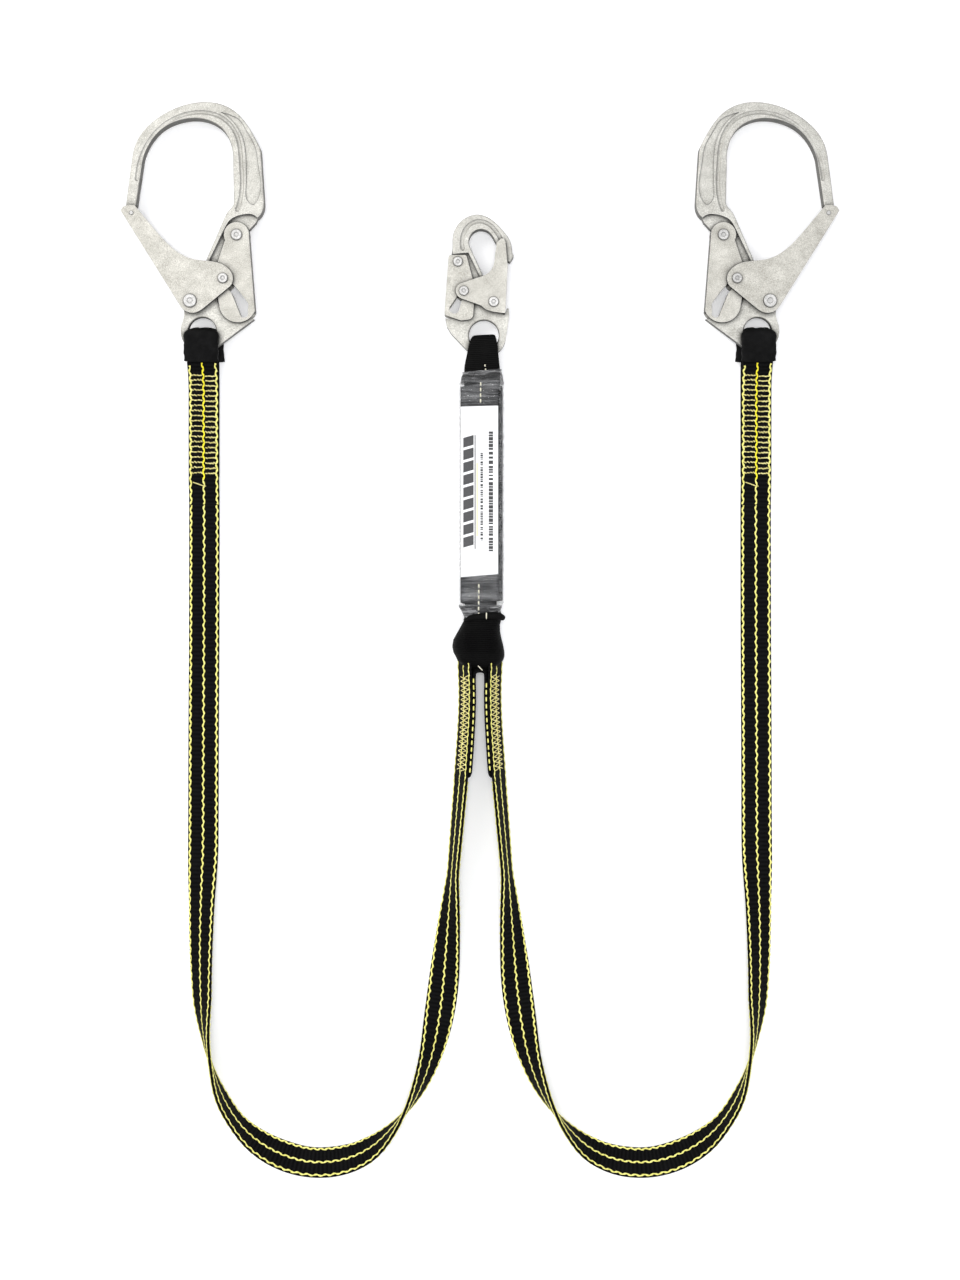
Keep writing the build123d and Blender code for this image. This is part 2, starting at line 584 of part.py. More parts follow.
# ---------------------------------------------------------------- free legs
# Route of the left leg's centre line on the table, from the hook loop to the saddle.
LEG_ROUTE = [
    (REBAR_EYE[0], REBAR_EYE[1] + DIP_END), (REBAR_EYE[0], -156.8), (-244.7, -262.4), (-244.9, -368.0),
    (-246.4, -458.0), (-243.0, -524.0), (-229.7, -577.5), (-199.8, -617.0), (-152.2, -638.2),
    (-103.8, -630.3), (-68.6, -597.7), (-45.8, -552.8), (-34.3, -500.0), (-28.2, -437.0),
    (-22.6, -366.0), (-LEG_END_X, LEG_END_Y),
]
corner_radii = []
for before, corner, after in zip(LEG_ROUTE, LEG_ROUTE[1:], LEG_ROUTE[2:]):
    run_in, run_out = Vector(*corner) - Vector(*before), Vector(*after) - Vector(*corner)
    half_turn = radians(run_in.get_angle(run_out) / 2)
    corner_radii.append(0.45 * min(run_in.length, run_out.length) / tan(half_turn))
with BuildPart() as leg:
    with BuildLine():
        leg_line = FilletPolyline(*LEG_ROUTE, radius=corner_radii)
    with BuildSketch(Plane(leg_line @ 0, x_dir=(0, 0, 1), z_dir=leg_line % 0)):
        with Locations((WEB_THICK / 2, 0)):
            Rectangle(WEB_THICK, WEB_WIDTH)
    sweep(path=leg_line)
write_pair(leg.part, "leg_webbing")
print("leg corner radii", [round(radius) for radius in corner_radii])
print("leg length", round(leg_line.length, 1), "volume ratio",
      round(leg.part.volume / (leg_line.length * WEB_WIDTH * WEB_THICK), 4))
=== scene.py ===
import math
import random

import bpy
import numpy as np
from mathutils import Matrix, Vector, noise


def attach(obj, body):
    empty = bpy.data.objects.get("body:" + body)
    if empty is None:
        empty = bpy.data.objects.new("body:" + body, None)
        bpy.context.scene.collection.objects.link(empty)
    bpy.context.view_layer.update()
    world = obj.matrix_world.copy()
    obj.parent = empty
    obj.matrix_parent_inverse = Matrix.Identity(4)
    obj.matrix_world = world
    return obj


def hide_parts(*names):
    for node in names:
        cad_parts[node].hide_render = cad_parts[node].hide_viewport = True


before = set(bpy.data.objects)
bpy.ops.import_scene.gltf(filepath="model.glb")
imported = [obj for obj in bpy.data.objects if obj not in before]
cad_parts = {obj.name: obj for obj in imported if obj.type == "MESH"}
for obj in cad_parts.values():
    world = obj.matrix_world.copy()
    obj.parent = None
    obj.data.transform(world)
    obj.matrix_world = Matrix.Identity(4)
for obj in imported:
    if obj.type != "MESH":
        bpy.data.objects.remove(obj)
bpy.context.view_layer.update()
MM = 0.001

# ---- sizes, in millimetres
WEB_WIDTH = 27.0
WEB_THICK = 3.0
RIB_PITCH = 3.65                # cross ribs of the leg webbing
RIB_RELIEF = 0.24
FINE_RIB_PITCH = 1.75           # cross ribs of the junction loop
TEAR_RIB_PITCH = 2.3            # cross ribs of the tear webbing and the snap loop
TRACER_AT = (-11.5, 0.0, 11.5)  # tracer lines across the leg webbing
REBAR_EYE = Vector((-244.0, 97.2, 11.0))
SNAP_EYE = Vector((3.4, 93.8, 10.0))
TABLE_GAP = 0.05                # the straps lie this far off the table
PACK_TOP, PACK_BOTTOM = 50.0, -142.7    # where the shock pack starts to neck in
PACK_LEAN = 0.085               # the pack's end seams rise this much to the right

VIEW_HEIGHT = 1126.4            # what the view takes in, in the plane of the hooks
VIEW_CENTRE = Vector((0.0, -174.4, 12.0))
CAMERA_DISTANCE = 1800.0
FLOOR_REACH = 30000.0
FLOOR_DROP = 0.6                # the floor lies this far under the object


# ---- camera and light
LIGHT_TARGET = Vector((0.0, -0.17, 0.0))


def placed(name, data):
    """A new object in the scene."""
    thing = bpy.data.objects.new(name, data)
    bpy.context.scene.collection.objects.link(thing)
    return thing


def make_camera():
    """A camera straight above the object, as in the photograph."""
    data = bpy.data.cameras.new("camera")
    camera = placed("camera", data)
    camera.location = (VIEW_CENTRE + Vector((0.0, 0.0, CAMERA_DISTANCE))) * MM
    data.lens = data.sensor_width * CAMERA_DISTANCE / VIEW_HEIGHT
    data.clip_start, data.clip_end = 0.1, 10.0
    bpy.context.scene.camera = camera


def area_light(name, location, size, power, tone=(1.0, 1.0, 1.0)):
    """A round soft light, placed in metres and aimed at the object."""
    data = bpy.data.lights.new(name, "AREA")
    data.shape, data.size = "DISK", size
    data.energy, data.color = power, tone
    lamp = placed(name, data)
    lamp.location = location
    aim = LIGHT_TARGET - lamp.location
    lamp.rotation_mode = "QUATERNION"
    lamp.rotation_quaternion = aim.to_track_quat("-Z", "Y")


def make_world():
    """White sky overhead that darkens towards the horizon, so that side walls read dark."""
    world = bpy.data.worlds.new("studio")
    bpy.context.scene.world = world
    world.use_nodes = True
    tree = world.node_tree
    tree.nodes.clear()
    place = tree.nodes.new("ShaderNodeTexCoord")
    split = tree.nodes.new("ShaderNodeSeparateXYZ")
    ramp = tree.nodes.new("ShaderNodeValToRGB")
    glow = tree.nodes.new("ShaderNodeBackground")
    out = tree.nodes.new("ShaderNodeOutputWorld")
    ramp.color_ramp.elements[0].position = 0.12
    ramp.color_ramp.elements[0].color = (0.52, 0.52, 0.525, 1.0)
    ramp.color_ramp.elements[1].position = 0.75
    ramp.color_ramp.elements[1].color = (0.95, 0.96, 1.0, 1.0)
    glow.inputs["Strength"].default_value = 0.98
    tree.links.new(place.outputs["Generated"], split.inputs[0])
    tree.links.new(split.outputs["Z"], ramp.inputs[0])
    tree.links.new(ramp.outputs[0], glow.inputs["Color"])
    tree.links.new(glow.outputs[0], out.inputs["Surface"])


make_camera()
make_world()
area_light("key", Vector((-1.7, 1.3, 1.9)), 1.4, 34.0, (1.0, 0.985, 0.96))
area_light("fill", Vector((1.6, -1.5, 1.7)), 1.6, 10.0, (0.96, 0.98, 1.0))
area_light("overhead", Vector((0.0, -0.17, 2.7)), 0.9, 24.0)
bpy.context.scene.view_settings.view_transform = "Standard"


# ---- materials
class Shader:
    """A node material: a Principled surface, and a short way to add nodes to it."""

    def __init__(self, name, roughness=0.6):
        self.material = bpy.data.materials.new(name)
        self.material.use_nodes = True
        self.tree = self.material.node_tree
        self.tree.nodes.clear()
        self.out = self.add("ShaderNodeOutputMaterial")
        self.skin = self.add("ShaderNodeBsdfPrincipled", {"Roughness": roughness})
        self.tree.links.new(self.skin.outputs[0], self.out.inputs["Surface"])

    def add(self, kind, inputs=None, **properties):
        """A node with these inputs, each a value or the socket that feeds it."""
        node = self.tree.nodes.new(kind)
        for key, value in properties.items():
            setattr(node, key, value)
        for key, value in (inputs or {}).items():
            self.set(node, key, value)
        return node

    def set(self, node, key, value):
        if isinstance(value, bpy.types.NodeSocket):
            self.tree.links.new(value, node.inputs[key])
        else:
            node.inputs[key].default_value = value

    def skin_set(self, **values):
        for key, value in values.items():
            self.set(self.skin, key.replace("_", " "), value)

    def math(self, operation, first, second=0.0, third=0.0):
        node = self.add("ShaderNodeMath", {0: first, 1: second, 2: third}, operation=operation)
        return node.outputs[0]

    def weighted(self, first, share, second, other_share):
        """Two values added up in these shares."""
        other = self.math("MULTIPLY", second, other_share)
        return self.math("ADD", self.math("MULTIPLY", first, share), other)

    def axis(self, vector, index):
        return self.add("ShaderNodeSeparateXYZ", {0: vector}).outputs[index]

    def uv(self):
        """Millimetres across and along a strap."""
        place = self.add("ShaderNodeTexCoord").outputs["UV"]
        return self.axis(place, 0), self.axis(place, 1)

    def place(self):
        return self.add("ShaderNodeTexCoord").outputs["Object"]

    def noise(self, scale, detail=4.0, roughness=0.55, vector=None):
        inputs = {"Scale": scale, "Detail": detail, "Roughness": roughness,
                  "Vector": vector or self.place()}
        return self.add("ShaderNodeTexNoise", inputs).outputs[0]

    def stretched(self, scale):
        """Object coordinates stretched by a scale along each axis."""
        node = self.add("ShaderNodeMapping", {"Vector": self.place(), "Scale": scale})
        return node.outputs[0]

    def ramp(self, factor, *stops):
        node = self.add("ShaderNodeValToRGB", {0: factor})
        elements = node.color_ramp.elements
        while len(elements) < len(stops):
            elements.new(0.5)
        for element, (position, colour) in zip(elements, stops):
            element.position = position
            element.color = (*colour, 1.0) if len(colour) == 3 else colour
        return node.outputs[0]

    def mix(self, factor, first, second, blend="MIX"):
        node = self.add("ShaderNodeMix", data_type="RGBA", blend_type=blend)
        self.set(node, 0, factor)
        for index, value in ((6, first), (7, second)):
            if not isinstance(value, bpy.types.NodeSocket):
                value = (*value, 1.0)
            self.set(node, index, value)
        return node.outputs[2]

    def remap(self, value, low, high, new_low=0.0, new_high=1.0):
        inputs = {0: value, 1: low, 2: high, 3: new_low, 4: new_high}
        return self.add("ShaderNodeMapRange", inputs).outputs[0]

    def bump(self, height, distance, strength=1.0, **normal):
        inputs = {"Height": height, "Distance": distance, "Strength": strength, **normal}
        self.skin_set(Normal=self.add("ShaderNodeBump", inputs).outputs[0])


def webbing_material(name, dark, light, rib_pitch, yarn=0.85):
    """Woven polyester: warp yarns along the strap, cross ribs with painted highlight on their
    crests and painted shade in their valleys.
    """
    s = Shader(name, roughness=0.72)
    across, along = s.uv()
    warp = s.math("SINE", s.math("MULTIPLY", across, 2 * math.pi / yarn))
    drift = s.noise(420.0, 2.0)
    rib = s.math("SINE", s.math("MULTIPLY", s.math("ADD", along, drift), 2 * math.pi / rib_pitch))
    yarns = s.remap(warp, -1.0, 1.0)
    # The rib wave drives the rib bump and also the colour: painted highlight on the crests, painted
    # shade in the valleys.
    rib_highlight_and_relief = s.remap(rib, -1.0, 1.0)
    fibre = s.noise(2600.0, 3.0, 0.7)
    weave = s.math("ADD", s.weighted(yarns, 0.25, rib_highlight_and_relief, 0.55), s.math("MULTIPLY", fibre, 0.45))
    wear = s.remap(s.noise(60.0, 5.0, 0.6), 0.5, 0.8, 0.0, 0.3)
    tone = s.ramp(weave, (0.25, dark), (0.95, light))
    # Random lighter dust and wear over the tone, whose rib part is painted highlight and painted
    # shade.
    dust_and_rib_shading = s.mix(wear, tone, tuple(min(1.0, c * 1.9) for c in light))
    s.skin_set(Base_Color=dust_and_rib_shading, Specular_IOR_Level=0.05)
    s.skin_set(Roughness=s.remap(fibre, 0.3, 0.7, 0.55, 0.85))
    s.bump(weave, 0.00035, 0.7)
    return s.material


def thread_material(name, deep, bright):
    """Twisted thread: fine twist bump and patchy colour where the dye and the dirt vary."""
    s = Shader(name, roughness=0.55)
    twist = s.noise(3200.0, 2.0, 0.6)
    patch = s.noise(240.0, 3.0, 0.6)
    s.skin_set(Base_Color=s.ramp(s.weighted(twist, 0.45, patch, 0.6), (0.32, deep), (0.62, bright)))
    s.skin_set(Sheen_Weight=0.1, Specular_IOR_Level=0.3)
    s.bump(twist, 0.00025, 0.6)
    return s.material


def steel_material(name, dark, light, grain, roughness=0.5, side_wall_shade=0.24):
    """Zinc plated steel: speckled and cloudy; painted highlight on the edges, painted shade in
    crevices and on side walls, which are also made less metallic.
    """
    s = Shader(name, roughness)
    geometry = s.add("ShaderNodeNewGeometry")
    speckle = s.noise(grain, 6.0, 0.75)
    cloud = s.noise(70.0, 6.0, 0.65)
    middling = tuple((a + b) / 2 for a, b in zip(dark, light))
    plating = s.weighted(speckle, 0.78, cloud, 0.24)
    tone = s.ramp(plating, (0.42, dark), (0.52, middling), (0.62, light))
    upright = s.math("ABSOLUTE", s.axis(geometry.outputs["Normal"], 2))
    # Upright faces get darker colour, less metal and less specular: painted shade on the side
    # walls.
    flat = s.remap(upright, 0.25, 0.8, side_wall_shade, 1.0)
    # Ambient occlusion darkens the colour and the specular in crevices and between parts: painted
    # shade.
    crevice = s.add("ShaderNodeAmbientOcclusion", {"Distance": 0.006}, samples=8)
    crevice_shade = s.remap(crevice.outputs["AO"], 0.45, 0.98, 0.02, 1.0)
    shade = s.math("MULTIPLY", flat, crevice_shade)
    grey = s.add("ShaderNodeCombineXYZ", {0: shade, 1: shade, 2: shade}).outputs[0]
    shaded = s.mix(1.0, tone, grey, "MULTIPLY")
    rounded = s.add("ShaderNodeBevel", {"Radius": 0.0006}, samples=6).outputs[0]
    turn = s.add("ShaderNodeVectorMath", {0: rounded, 1: geometry.outputs["Normal"]},
                 operation="DOT_PRODUCT")
    # Edges, where the rounded normal turns from the true one, are lightened in colour: painted
    # highlight, none on the side walls.
    edge = s.math("MULTIPLY", s.remap(turn.outputs[1], 0.82, 0.99, 0.6, 0.0), flat)
    s.skin_set(Base_Color=s.mix(edge, shaded, (0.85, 0.85, 0.81)))
    s.skin_set(Metallic=s.math("MULTIPLY", flat, 0.7))
    s.skin_set(Specular_IOR_Level=s.math("MULTIPLY", shade, 0.5))
    s.skin_set(Roughness=s.remap(speckle, 0.3, 0.7, roughness - 0.08, roughness + 0.18))
    s.bump(s.math("ADD", speckle, s.math("MULTIPLY", s.noise(260.0, 3.0), 0.8)), 0.00022, 0.6,
           Normal=rounded)
    return s.material


def film_material():
    """Clear shrink film: glossy and streaked, and cloudy where it gathers at the pack's necks, with
    light streaks there that are partly painted highlight.
    """
    s = Shader("clear_film", roughness=0.16)
    streak = s.noise(1.0, 5.0, 0.65, s.stretched((25.0, 190.0, 60.0)))
    fine = s.noise(1.0, 3.0, 0.6, s.stretched((60.0, 600.0, 120.0)))
    haze = s.remap(s.weighted(streak, 0.75, fine, 0.3), 0.46, 0.72, 0.03, 0.24)
    middle = (PACK_TOP + PACK_BOTTOM) / 2 * MM
    from_middle = s.math("ABSOLUTE", s.math("SUBTRACT", s.axis(s.place(), 1), middle))
    half_length = (PACK_TOP - PACK_BOTTOM) / 2 * MM
    gathered = s.remap(from_middle, half_length + 0.0005, half_length + 0.003, 0.0, 1.0)
    # Gathered film at the necks: dark and light streaks of cloudy film, the light ones partly
    # painted highlight.
    crease_streaks_and_highlights = s.ramp(s.weighted(streak, 0.5, fine, 0.5), (0.40, (0.012, 0.012, 0.012)),
                     (0.52, (0.07, 0.07, 0.071)), (0.62, (0.42, 0.42, 0.425)))
    s.skin_set(Base_Color=s.mix(gathered, (0.36, 0.365, 0.37), crease_streaks_and_highlights),
               Alpha=s.math("MULTIPLY_ADD", gathered, 0.62, haze),
               Specular_IOR_Level=0.5, Coat_Weight=0.1)
    s.bump(s.math("ADD", streak, fine), 0.0006, 0.5)
    return s.material


def paper_material(name, base, deep):
    """Printed label stock: faint fibre and scuffs."""
    s = Shader(name, roughness=0.45)
    fibre = s.noise(1500.0, 4.0, 0.7)
    scuff = s.remap(s.noise(70.0, 6.0, 0.7), 0.64, 0.8, 0.0, 0.15)
    s.skin_set(Base_Color=s.mix(scuff, s.ramp(fibre, (0.3, deep), (0.6, base)), deep))
    s.bump(fibre, 0.00008, 0.4)
    return s.material


def sleeve_material():
    """Tubular nylon wear sleeve: dense fine weave with a slight shine on its creases."""
    s = Shader("black_sleeve", roughness=0.5)
    inputs = {"Vector": s.place(), "Scale": 420.0, "Distortion": 2.0, "Detail": 2.0}
    weave = s.add("ShaderNodeTexWave", inputs, wave_type="BANDS", bands_direction="DIAGONAL")
    worn = s.noise(160.0, 5.0, 0.65)
    tone = s.ramp(worn, (0.42, (0.0003, 0.0003, 0.0003)), (0.8, (0.0045, 0.0045, 0.0046)))
    s.skin_set(Base_Color=tone, Specular_IOR_Level=0.1)
    s.bump(s.math("ADD", weave.outputs[1], s.math("MULTIPLY", worn, 1.5)), 0.0003, 0.6)
    return s.material


def floor_material():
    """Pale matt paper, glowing a little so that narrow gaps in the object stay pale."""
    s = Shader("pale_floor", roughness=0.85)
    patch = s.noise(6.0, 3.0)
    s.skin_set(Base_Color=s.ramp(patch, (0.3, (0.86, 0.86, 0.86)), (0.7, (0.88, 0.88, 0.88))))
    s.skin_set(Emission_Color=(1.0, 1.0, 1.0, 1.0), Emission_Strength=0.2)
    return s.material


BLACK = (0.0001, 0.0001, 0.0001)
LEG_BLACK = webbing_material("leg_webbing_black", BLACK, (0.0050, 0.0050, 0.0052), RIB_PITCH)
PACK_BLACK = webbing_material("pack_webbing_black", BLACK, (0.0060, 0.0059, 0.0057),
                              FINE_RIB_PITCH, 0.6)
KNOT_BLACK = webbing_material("knot_webbing_black", BLACK, (0.0040, 0.0039, 0.0038),
                              FINE_RIB_PITCH, 0.6)
CORE_GREY = webbing_material("tear_webbing_grey", (0.002, 0.002, 0.0022), (0.048, 0.048, 0.05),
                             TEAR_RIB_PITCH)
YELLOW = thread_material("tracer_yellow", (0.58, 0.53, 0.08), (0.92, 0.88, 0.26))
BRIGHT_YELLOW = thread_material("centre_yellow", (0.72, 0.60, 0.01), (0.98, 0.88, 0.03))
GOLD = thread_material("zigzag_gold", (0.48, 0.40, 0.07), (0.88, 0.80, 0.34))
CREAM = thread_material("stitch_cream", (0.50, 0.46, 0.32), (0.85, 0.82, 0.66))
TACK_THREAD = thread_material("bar_tack_thread", (0.40, 0.32, 0.06), (0.86, 0.79, 0.34))
FORGED = steel_material("forged_zinc", (0.29, 0.281, 0.25), (0.70, 0.69, 0.64), grain=1300.0)
PLATE = steel_material("plate_zinc", (0.28, 0.269, 0.235), (0.67, 0.655, 0.60), grain=1500.0)
# Rivet side walls take the full painted shade, a dark ring round each head.
RIVET = steel_material("rivet_zinc", (0.30, 0.296, 0.285), (0.70, 0.69, 0.67), grain=1900.0,
                       roughness=0.4, side_wall_shade=0.0)
SPRING = steel_material("spring_wire", (0.20, 0.20, 0.20), (0.55, 0.55, 0.54), grain=1600.0,
                        roughness=0.3)
FILM = film_material()
LABEL = paper_material("label_white", (0.86, 0.865, 0.87), (0.82, 0.82, 0.82))
INK = paper_material("label_ink", (0.006, 0.006, 0.007), (0.016, 0.016, 0.017))
INK_GREY = paper_material("label_grey_ink", (0.016, 0.016, 0.018), (0.036, 0.036, 0.038))
INK_YELLOW = paper_material("label_yellow_ink", (0.85, 0.72, 0.03), (0.7, 0.58, 0.05))
SLEEVE = sleeve_material()


# ---- mesh building
def finish_mesh(name, verts, faces, material, body="root", uvs=None, smooth=True):
    """Makes the object from points in millimetres and puts it on its body."""
    mesh = bpy.data.meshes.new(name)
    mesh.from_pydata((np.asarray(verts) * MM).tolist(), [], faces)
    mesh.validate()
    if uvs is not None:
        layer = mesh.uv_layers.new(name="UVMap")
        corner_vertex = np.empty(len(mesh.loops), int)
        mesh.loops.foreach_get("vertex_index", corner_vertex)
        layer.data.foreach_set("uv", np.asarray(uvs, np.float32)[corner_vertex].ravel())
    mesh.materials.append(material)
    mesh.polygons.foreach_set("use_smooth", [smooth] * len(mesh.polygons))
    mesh.update()
    piece = placed(name, mesh)
    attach(piece, body)
    return piece


def ring_faces(rings, sides, closed_ends=True, first=0):
    """Quads between rings of points, and a face over each end."""
    faces = []
    for ring in range(rings - 1):
        a, b = first + ring * sides, first + (ring + 1) * sides
        for side in range(sides):
            after = (side + 1) % sides
            faces.append((a + side, a + after, b + after, b + side))
    if closed_ends:
        faces.append(tuple(first + side for side in reversed(range(sides))))
        faces.append(tuple(first + (rings - 1) * sides + side for side in range(sides)))
    return faces


def unit(vectors):
    """The same directions, each one long."""
    return vectors / np.maximum(np.linalg.norm(vectors, axis=-1, keepdims=True), 1e-9)


def smooth_line(points, step):
    """Points evenly spaced along the NURBS line that has these control points, in millimetres."""
    curve = bpy.data.curves.new("route", "CURVE")
    curve.dimensions = "3D"
    spline = curve.splines.new("NURBS")
    spline.points.add(len(points) - 1)
    for point, place in zip(spline.points, points):
        point.co = (*(Vector(place) * MM), 1.0)
    spline.order_u = 3
    spline.use_endpoint_u = True
    spline.resolution_u = 24
    carrier = placed("route", curve)
    bpy.context.view_layer.update()
    line = bpy.data.meshes.new_from_object(carrier)
    dense = np.array([vertex.co for vertex in line.vertices]) / MM
    bpy.data.objects.remove(carrier)
    bpy.data.meshes.remove(line)
    bpy.data.curves.remove(curve)
    return evenly(dense, step)


def distances(points):
    """How far along a line each of its points is."""
    return np.r_[0.0, np.cumsum(np.linalg.norm(np.diff(points, axis=0), axis=1))]


def evenly(points, step):
    """The same line with points at even steps."""
    points = np.asarray(points, float)
    keep = np.r_[True, np.linalg.norm(np.diff(points, axis=0), axis=1) > 1e-6]
    points = points[keep]
    reach = distances(points)
    at = np.linspace(0.0, reach[-1], max(2, int(round(reach[-1] / step)) + 1))
    return np.stack([np.interp(at, reach, points[:, axis]) for axis in range(3)], axis=1)


class Pile:
    """A piece made of many small tubes, such as stitches."""

    def __init__(self):
        self.verts, self.faces = [], []

    def tube(self, points, normals, half_width, half_height, sides=6):
        """A tube along a line, flattened along the normals."""
        points = np.asarray(points, float)
        along = unit(np.gradient(points, axis=0))
        side = unit(np.cross(along, np.asarray(normals, float)))
        up = np.cross(side, along)
        turn = np.linspace(0, 2 * math.pi, sides, endpoint=False)
        width = np.broadcast_to(half_width, len(points))[:, None, None]
        height = np.broadcast_to(half_height, len(points))[:, None, None]
        rings = (points[:, None] + side[:, None] * np.cos(turn)[None, :, None] * width
                 + up[:, None] * np.sin(turn)[None, :, None] * height)
        self.faces += ring_faces(len(points), sides, first=len(self.verts))
        self.verts += rings.reshape(-1, 3).tolist()

    def stitch(self, start, end, normal, radius=0.42, rise=0.35):
        """One stitch: it comes up out of the face, lies over it and goes back in."""
        start, end, normal = (np.asarray(v, float) for v in (start, end, normal))
        shares = ((0.0, -0.5), (0.12, rise * 0.7), (0.5, rise), (0.88, rise * 0.7), (1.0, -0.5))
        points = [start + (end - start) * share + normal * lift for share, lift in shares]
        self.tube(points, normal, radius, radius * 0.8)

    def piece(self, name, material, slot):
        return finish_mesh(name, self.verts, self.faces, material)


SIDEWAYS, UP = np.array([1.0, 0.0, 0.0]), np.array([0.0, 0.0, 1.0])


def both_ways(shares):
    """Shares of a half width on both sides of the middle."""
    return np.array([-share for share in reversed(shares)] + [0.0] + shares)


THREAD_PERIOD = 7.4             # a thread's waver, in millimetres along the strap
THREAD_SWAY = 0.6
THREAD_HALF_HEIGHT = 0.38
THREAD_STEP = 0.9


class Strap:
    """Webbing along a line of even steps: centres, the direction of its width, and its normal."""

    def __init__(self, centres, across, width=WEB_WIDTH, thick=WEB_THICK):
        self.centres = np.asarray(centres, float)
        along = unit(np.gradient(self.centres, axis=0))
        across = np.asarray(across, float)
        self.across = unit(across - along * np.sum(across * along, axis=1, keepdims=True))
        self.normal = unit(np.cross(along, self.across))
        self.reach = distances(self.centres)
        self.width = np.broadcast_to(np.asarray(width, float), len(self.centres))
        self.thick = thick

    def length(self):
        return self.reach[-1]

    def at(self, reach, offset, face=1, lift=0.0):
        """A point on a face and the normal there. offset runs across a strap of full width."""
        look = [np.interp(reach, self.reach, array[:, axis])
                for array in (self.centres, self.across, self.normal) for axis in range(3)]
        centre, across, normal = (np.stack(look[i:i + 3], axis=-1) for i in (0, 3, 6))
        gather = np.interp(reach, self.reach, self.width) / WEB_WIDTH
        out = unit(normal) * face
        return (centre + across * (np.asarray(offset) * gather)[..., None]
                + out * (self.thick / 2 + lift)), out

    def mesh(self, name, material, slot, pitch, rib, quiet=()):
        """The woven body: cross ribs in relief, plain at the selvedges and along quiet lines."""
        share = both_ways([0.2, 0.42, 0.62, 0.8, 0.91, 0.965, 1.0])
        crown = (1.0 - np.abs(share) ** 7) ** 0.5
        calm = np.clip((0.95 - np.abs(share)) / 0.06, 0.0, 1.0)
        for line in quiet:
            calm = calm * np.clip(np.abs(share - line / (WEB_WIDTH / 2)) / 0.12, 0.25, 1.0)
        wave = 0.5 + 0.5 * np.cos(2 * math.pi * self.reach / pitch)
        relief = rib * (np.sqrt(wave)[:, None] * calm[None, :] - 0.5 * calm[None, :])
        half = self.thick / 2 * crown[None, :]
        rings = self.rings(share, half + relief, half - relief * 0.8)
        column = np.r_[share, share[-2:0:-1]] * WEB_WIDTH / 2
        uvs = np.stack(np.broadcast_arrays(column[None, :], self.reach[:, None]), axis=-1)
        return finish_mesh(name, rings.reshape(-1, 3), ring_faces(*rings.shape[:2]), material,
                           uvs=uvs.reshape(-1, 2))

    def rings(self, share, above, below):
        """Points round the strap: shares of its half width, and how far each face stands off."""
        lay = self.across[:, None] * (self.width[:, None] / 2 * share)[..., None]
        lay = self.centres[:, None] + lay
        top = lay + self.normal[:, None] * above[..., None]
        low = lay - self.normal[:, None] * below[..., None]
        return np.concatenate([top, low[:, -2:0:-1]], axis=1)

    def thread(self, pile, offset, start, end, face=1, half_width=0.72, phase=0.0):
        """A thread that lies along the strap and wavers from side to side."""
        reach = np.linspace(start, end, max(4, int(abs(end - start) / THREAD_STEP)))
        sway = offset + THREAD_SWAY * np.sin(2 * math.pi * reach / THREAD_PERIOD + phase)
        points, normals = self.at(reach, sway, face)
        swell = 1.0 + 0.3 * np.cos(4 * math.pi * reach / THREAD_PERIOD + phase)
        pile.tube(points, normals, half_width * swell, THREAD_HALF_HEIGHT * swell)


def planar_across(centres, angle):
    """Direction of the width of a strap, tilted by the angle about its line as seen in plan."""
    along = unit(np.gradient(np.asarray(centres)[:, :2], axis=0))
    left = np.stack([-along[:, 1], along[:, 0], np.zeros(len(along))], axis=1)
    angle = np.radians(angle)[:, None]
    return np.cos(angle) * left + np.sin(angle) * UP


# ---- free legs
# The left leg's line on the table, from the end of its hook loop to the saddle.
LEG_ROUTE = [
    (-244.0, -54.8), (-244.0, -156.8), (-244.7, -262.4), (-244.9, -368.0), (-246.4, -458.0),
    (-243.0, -524.0), (-229.7, -577.5), (-199.8, -617.0), (-152.2, -638.2), (-103.8, -630.3),
    (-68.6, -597.7), (-45.8, -552.8), (-34.3, -500.0), (-28.2, -437.0), (-22.6, -366.0),
    (-16.7, -297.6),
]
# How the strap tilts about its own line, in degrees, at distances along it in millimetres.
LEG_TILT = [
    (0, 0), (304, 0), (348, 25), (436, 46), (470, 71), (500, 85), (525, 103), (552, 110),
    (578, 132), (604, 150), (645, 152), (680, 130), (705, 103), (730, 80), (757, 58), (781, 42),
    (822, 8), (875, -30), (942, -71), (1034, -65),
]
LEG_STEP = 0.62
SOFTENED = 45                   # steps over which a change of tilt is evened out
THREAD_END = 0.4                # threads stop this far short of a strap's end
SIDES = ((-1, "left"), (1, "right"))
MIRROR = np.array([-1.0, 1.0, 1.0])


def softened(values, count):
    """The same values, each evened out with its neighbours over this odd count of them."""
    window = np.hanning(count)
    padded = np.pad(values, count // 2, mode="edge")
    return np.convolve(padded, window / window.sum(), mode="valid")


def standing_height(tilt):
    """How high the middle of a strap is when its lower edge rests on the table at this tilt."""
    lean = np.radians(tilt)
    edge, face = np.abs(np.sin(lean)), np.abs(np.cos(lean))
    return WEB_WIDTH / 2 * edge + WEB_THICK / 2 * face + TABLE_GAP


def leg_strap(side):
    """The free leg of one side: -1 is the left, 1 the right."""
    line = smooth_line([(x, y, 0.0) for x, y in LEG_ROUTE], LEG_STEP)
    reach = np.linspace(0.0, len(line) * LEG_STEP, len(line))
    tilt = softened(np.interp(reach, *zip(*LEG_TILT)), SOFTENED)
    line[:, 2] = standing_height(tilt)
    across = planar_across(line, tilt)
    return mirrored_strap(line, across, side)


def mirrored_strap(centres, across, side, width=WEB_WIDTH, thick=WEB_THICK):
    """A strap drawn for the left. On the right its width runs the other way: its face stays up."""
    if side > 0:
        centres, across = centres * MIRROR, -across * MIRROR
    return Strap(centres, across, width, thick)


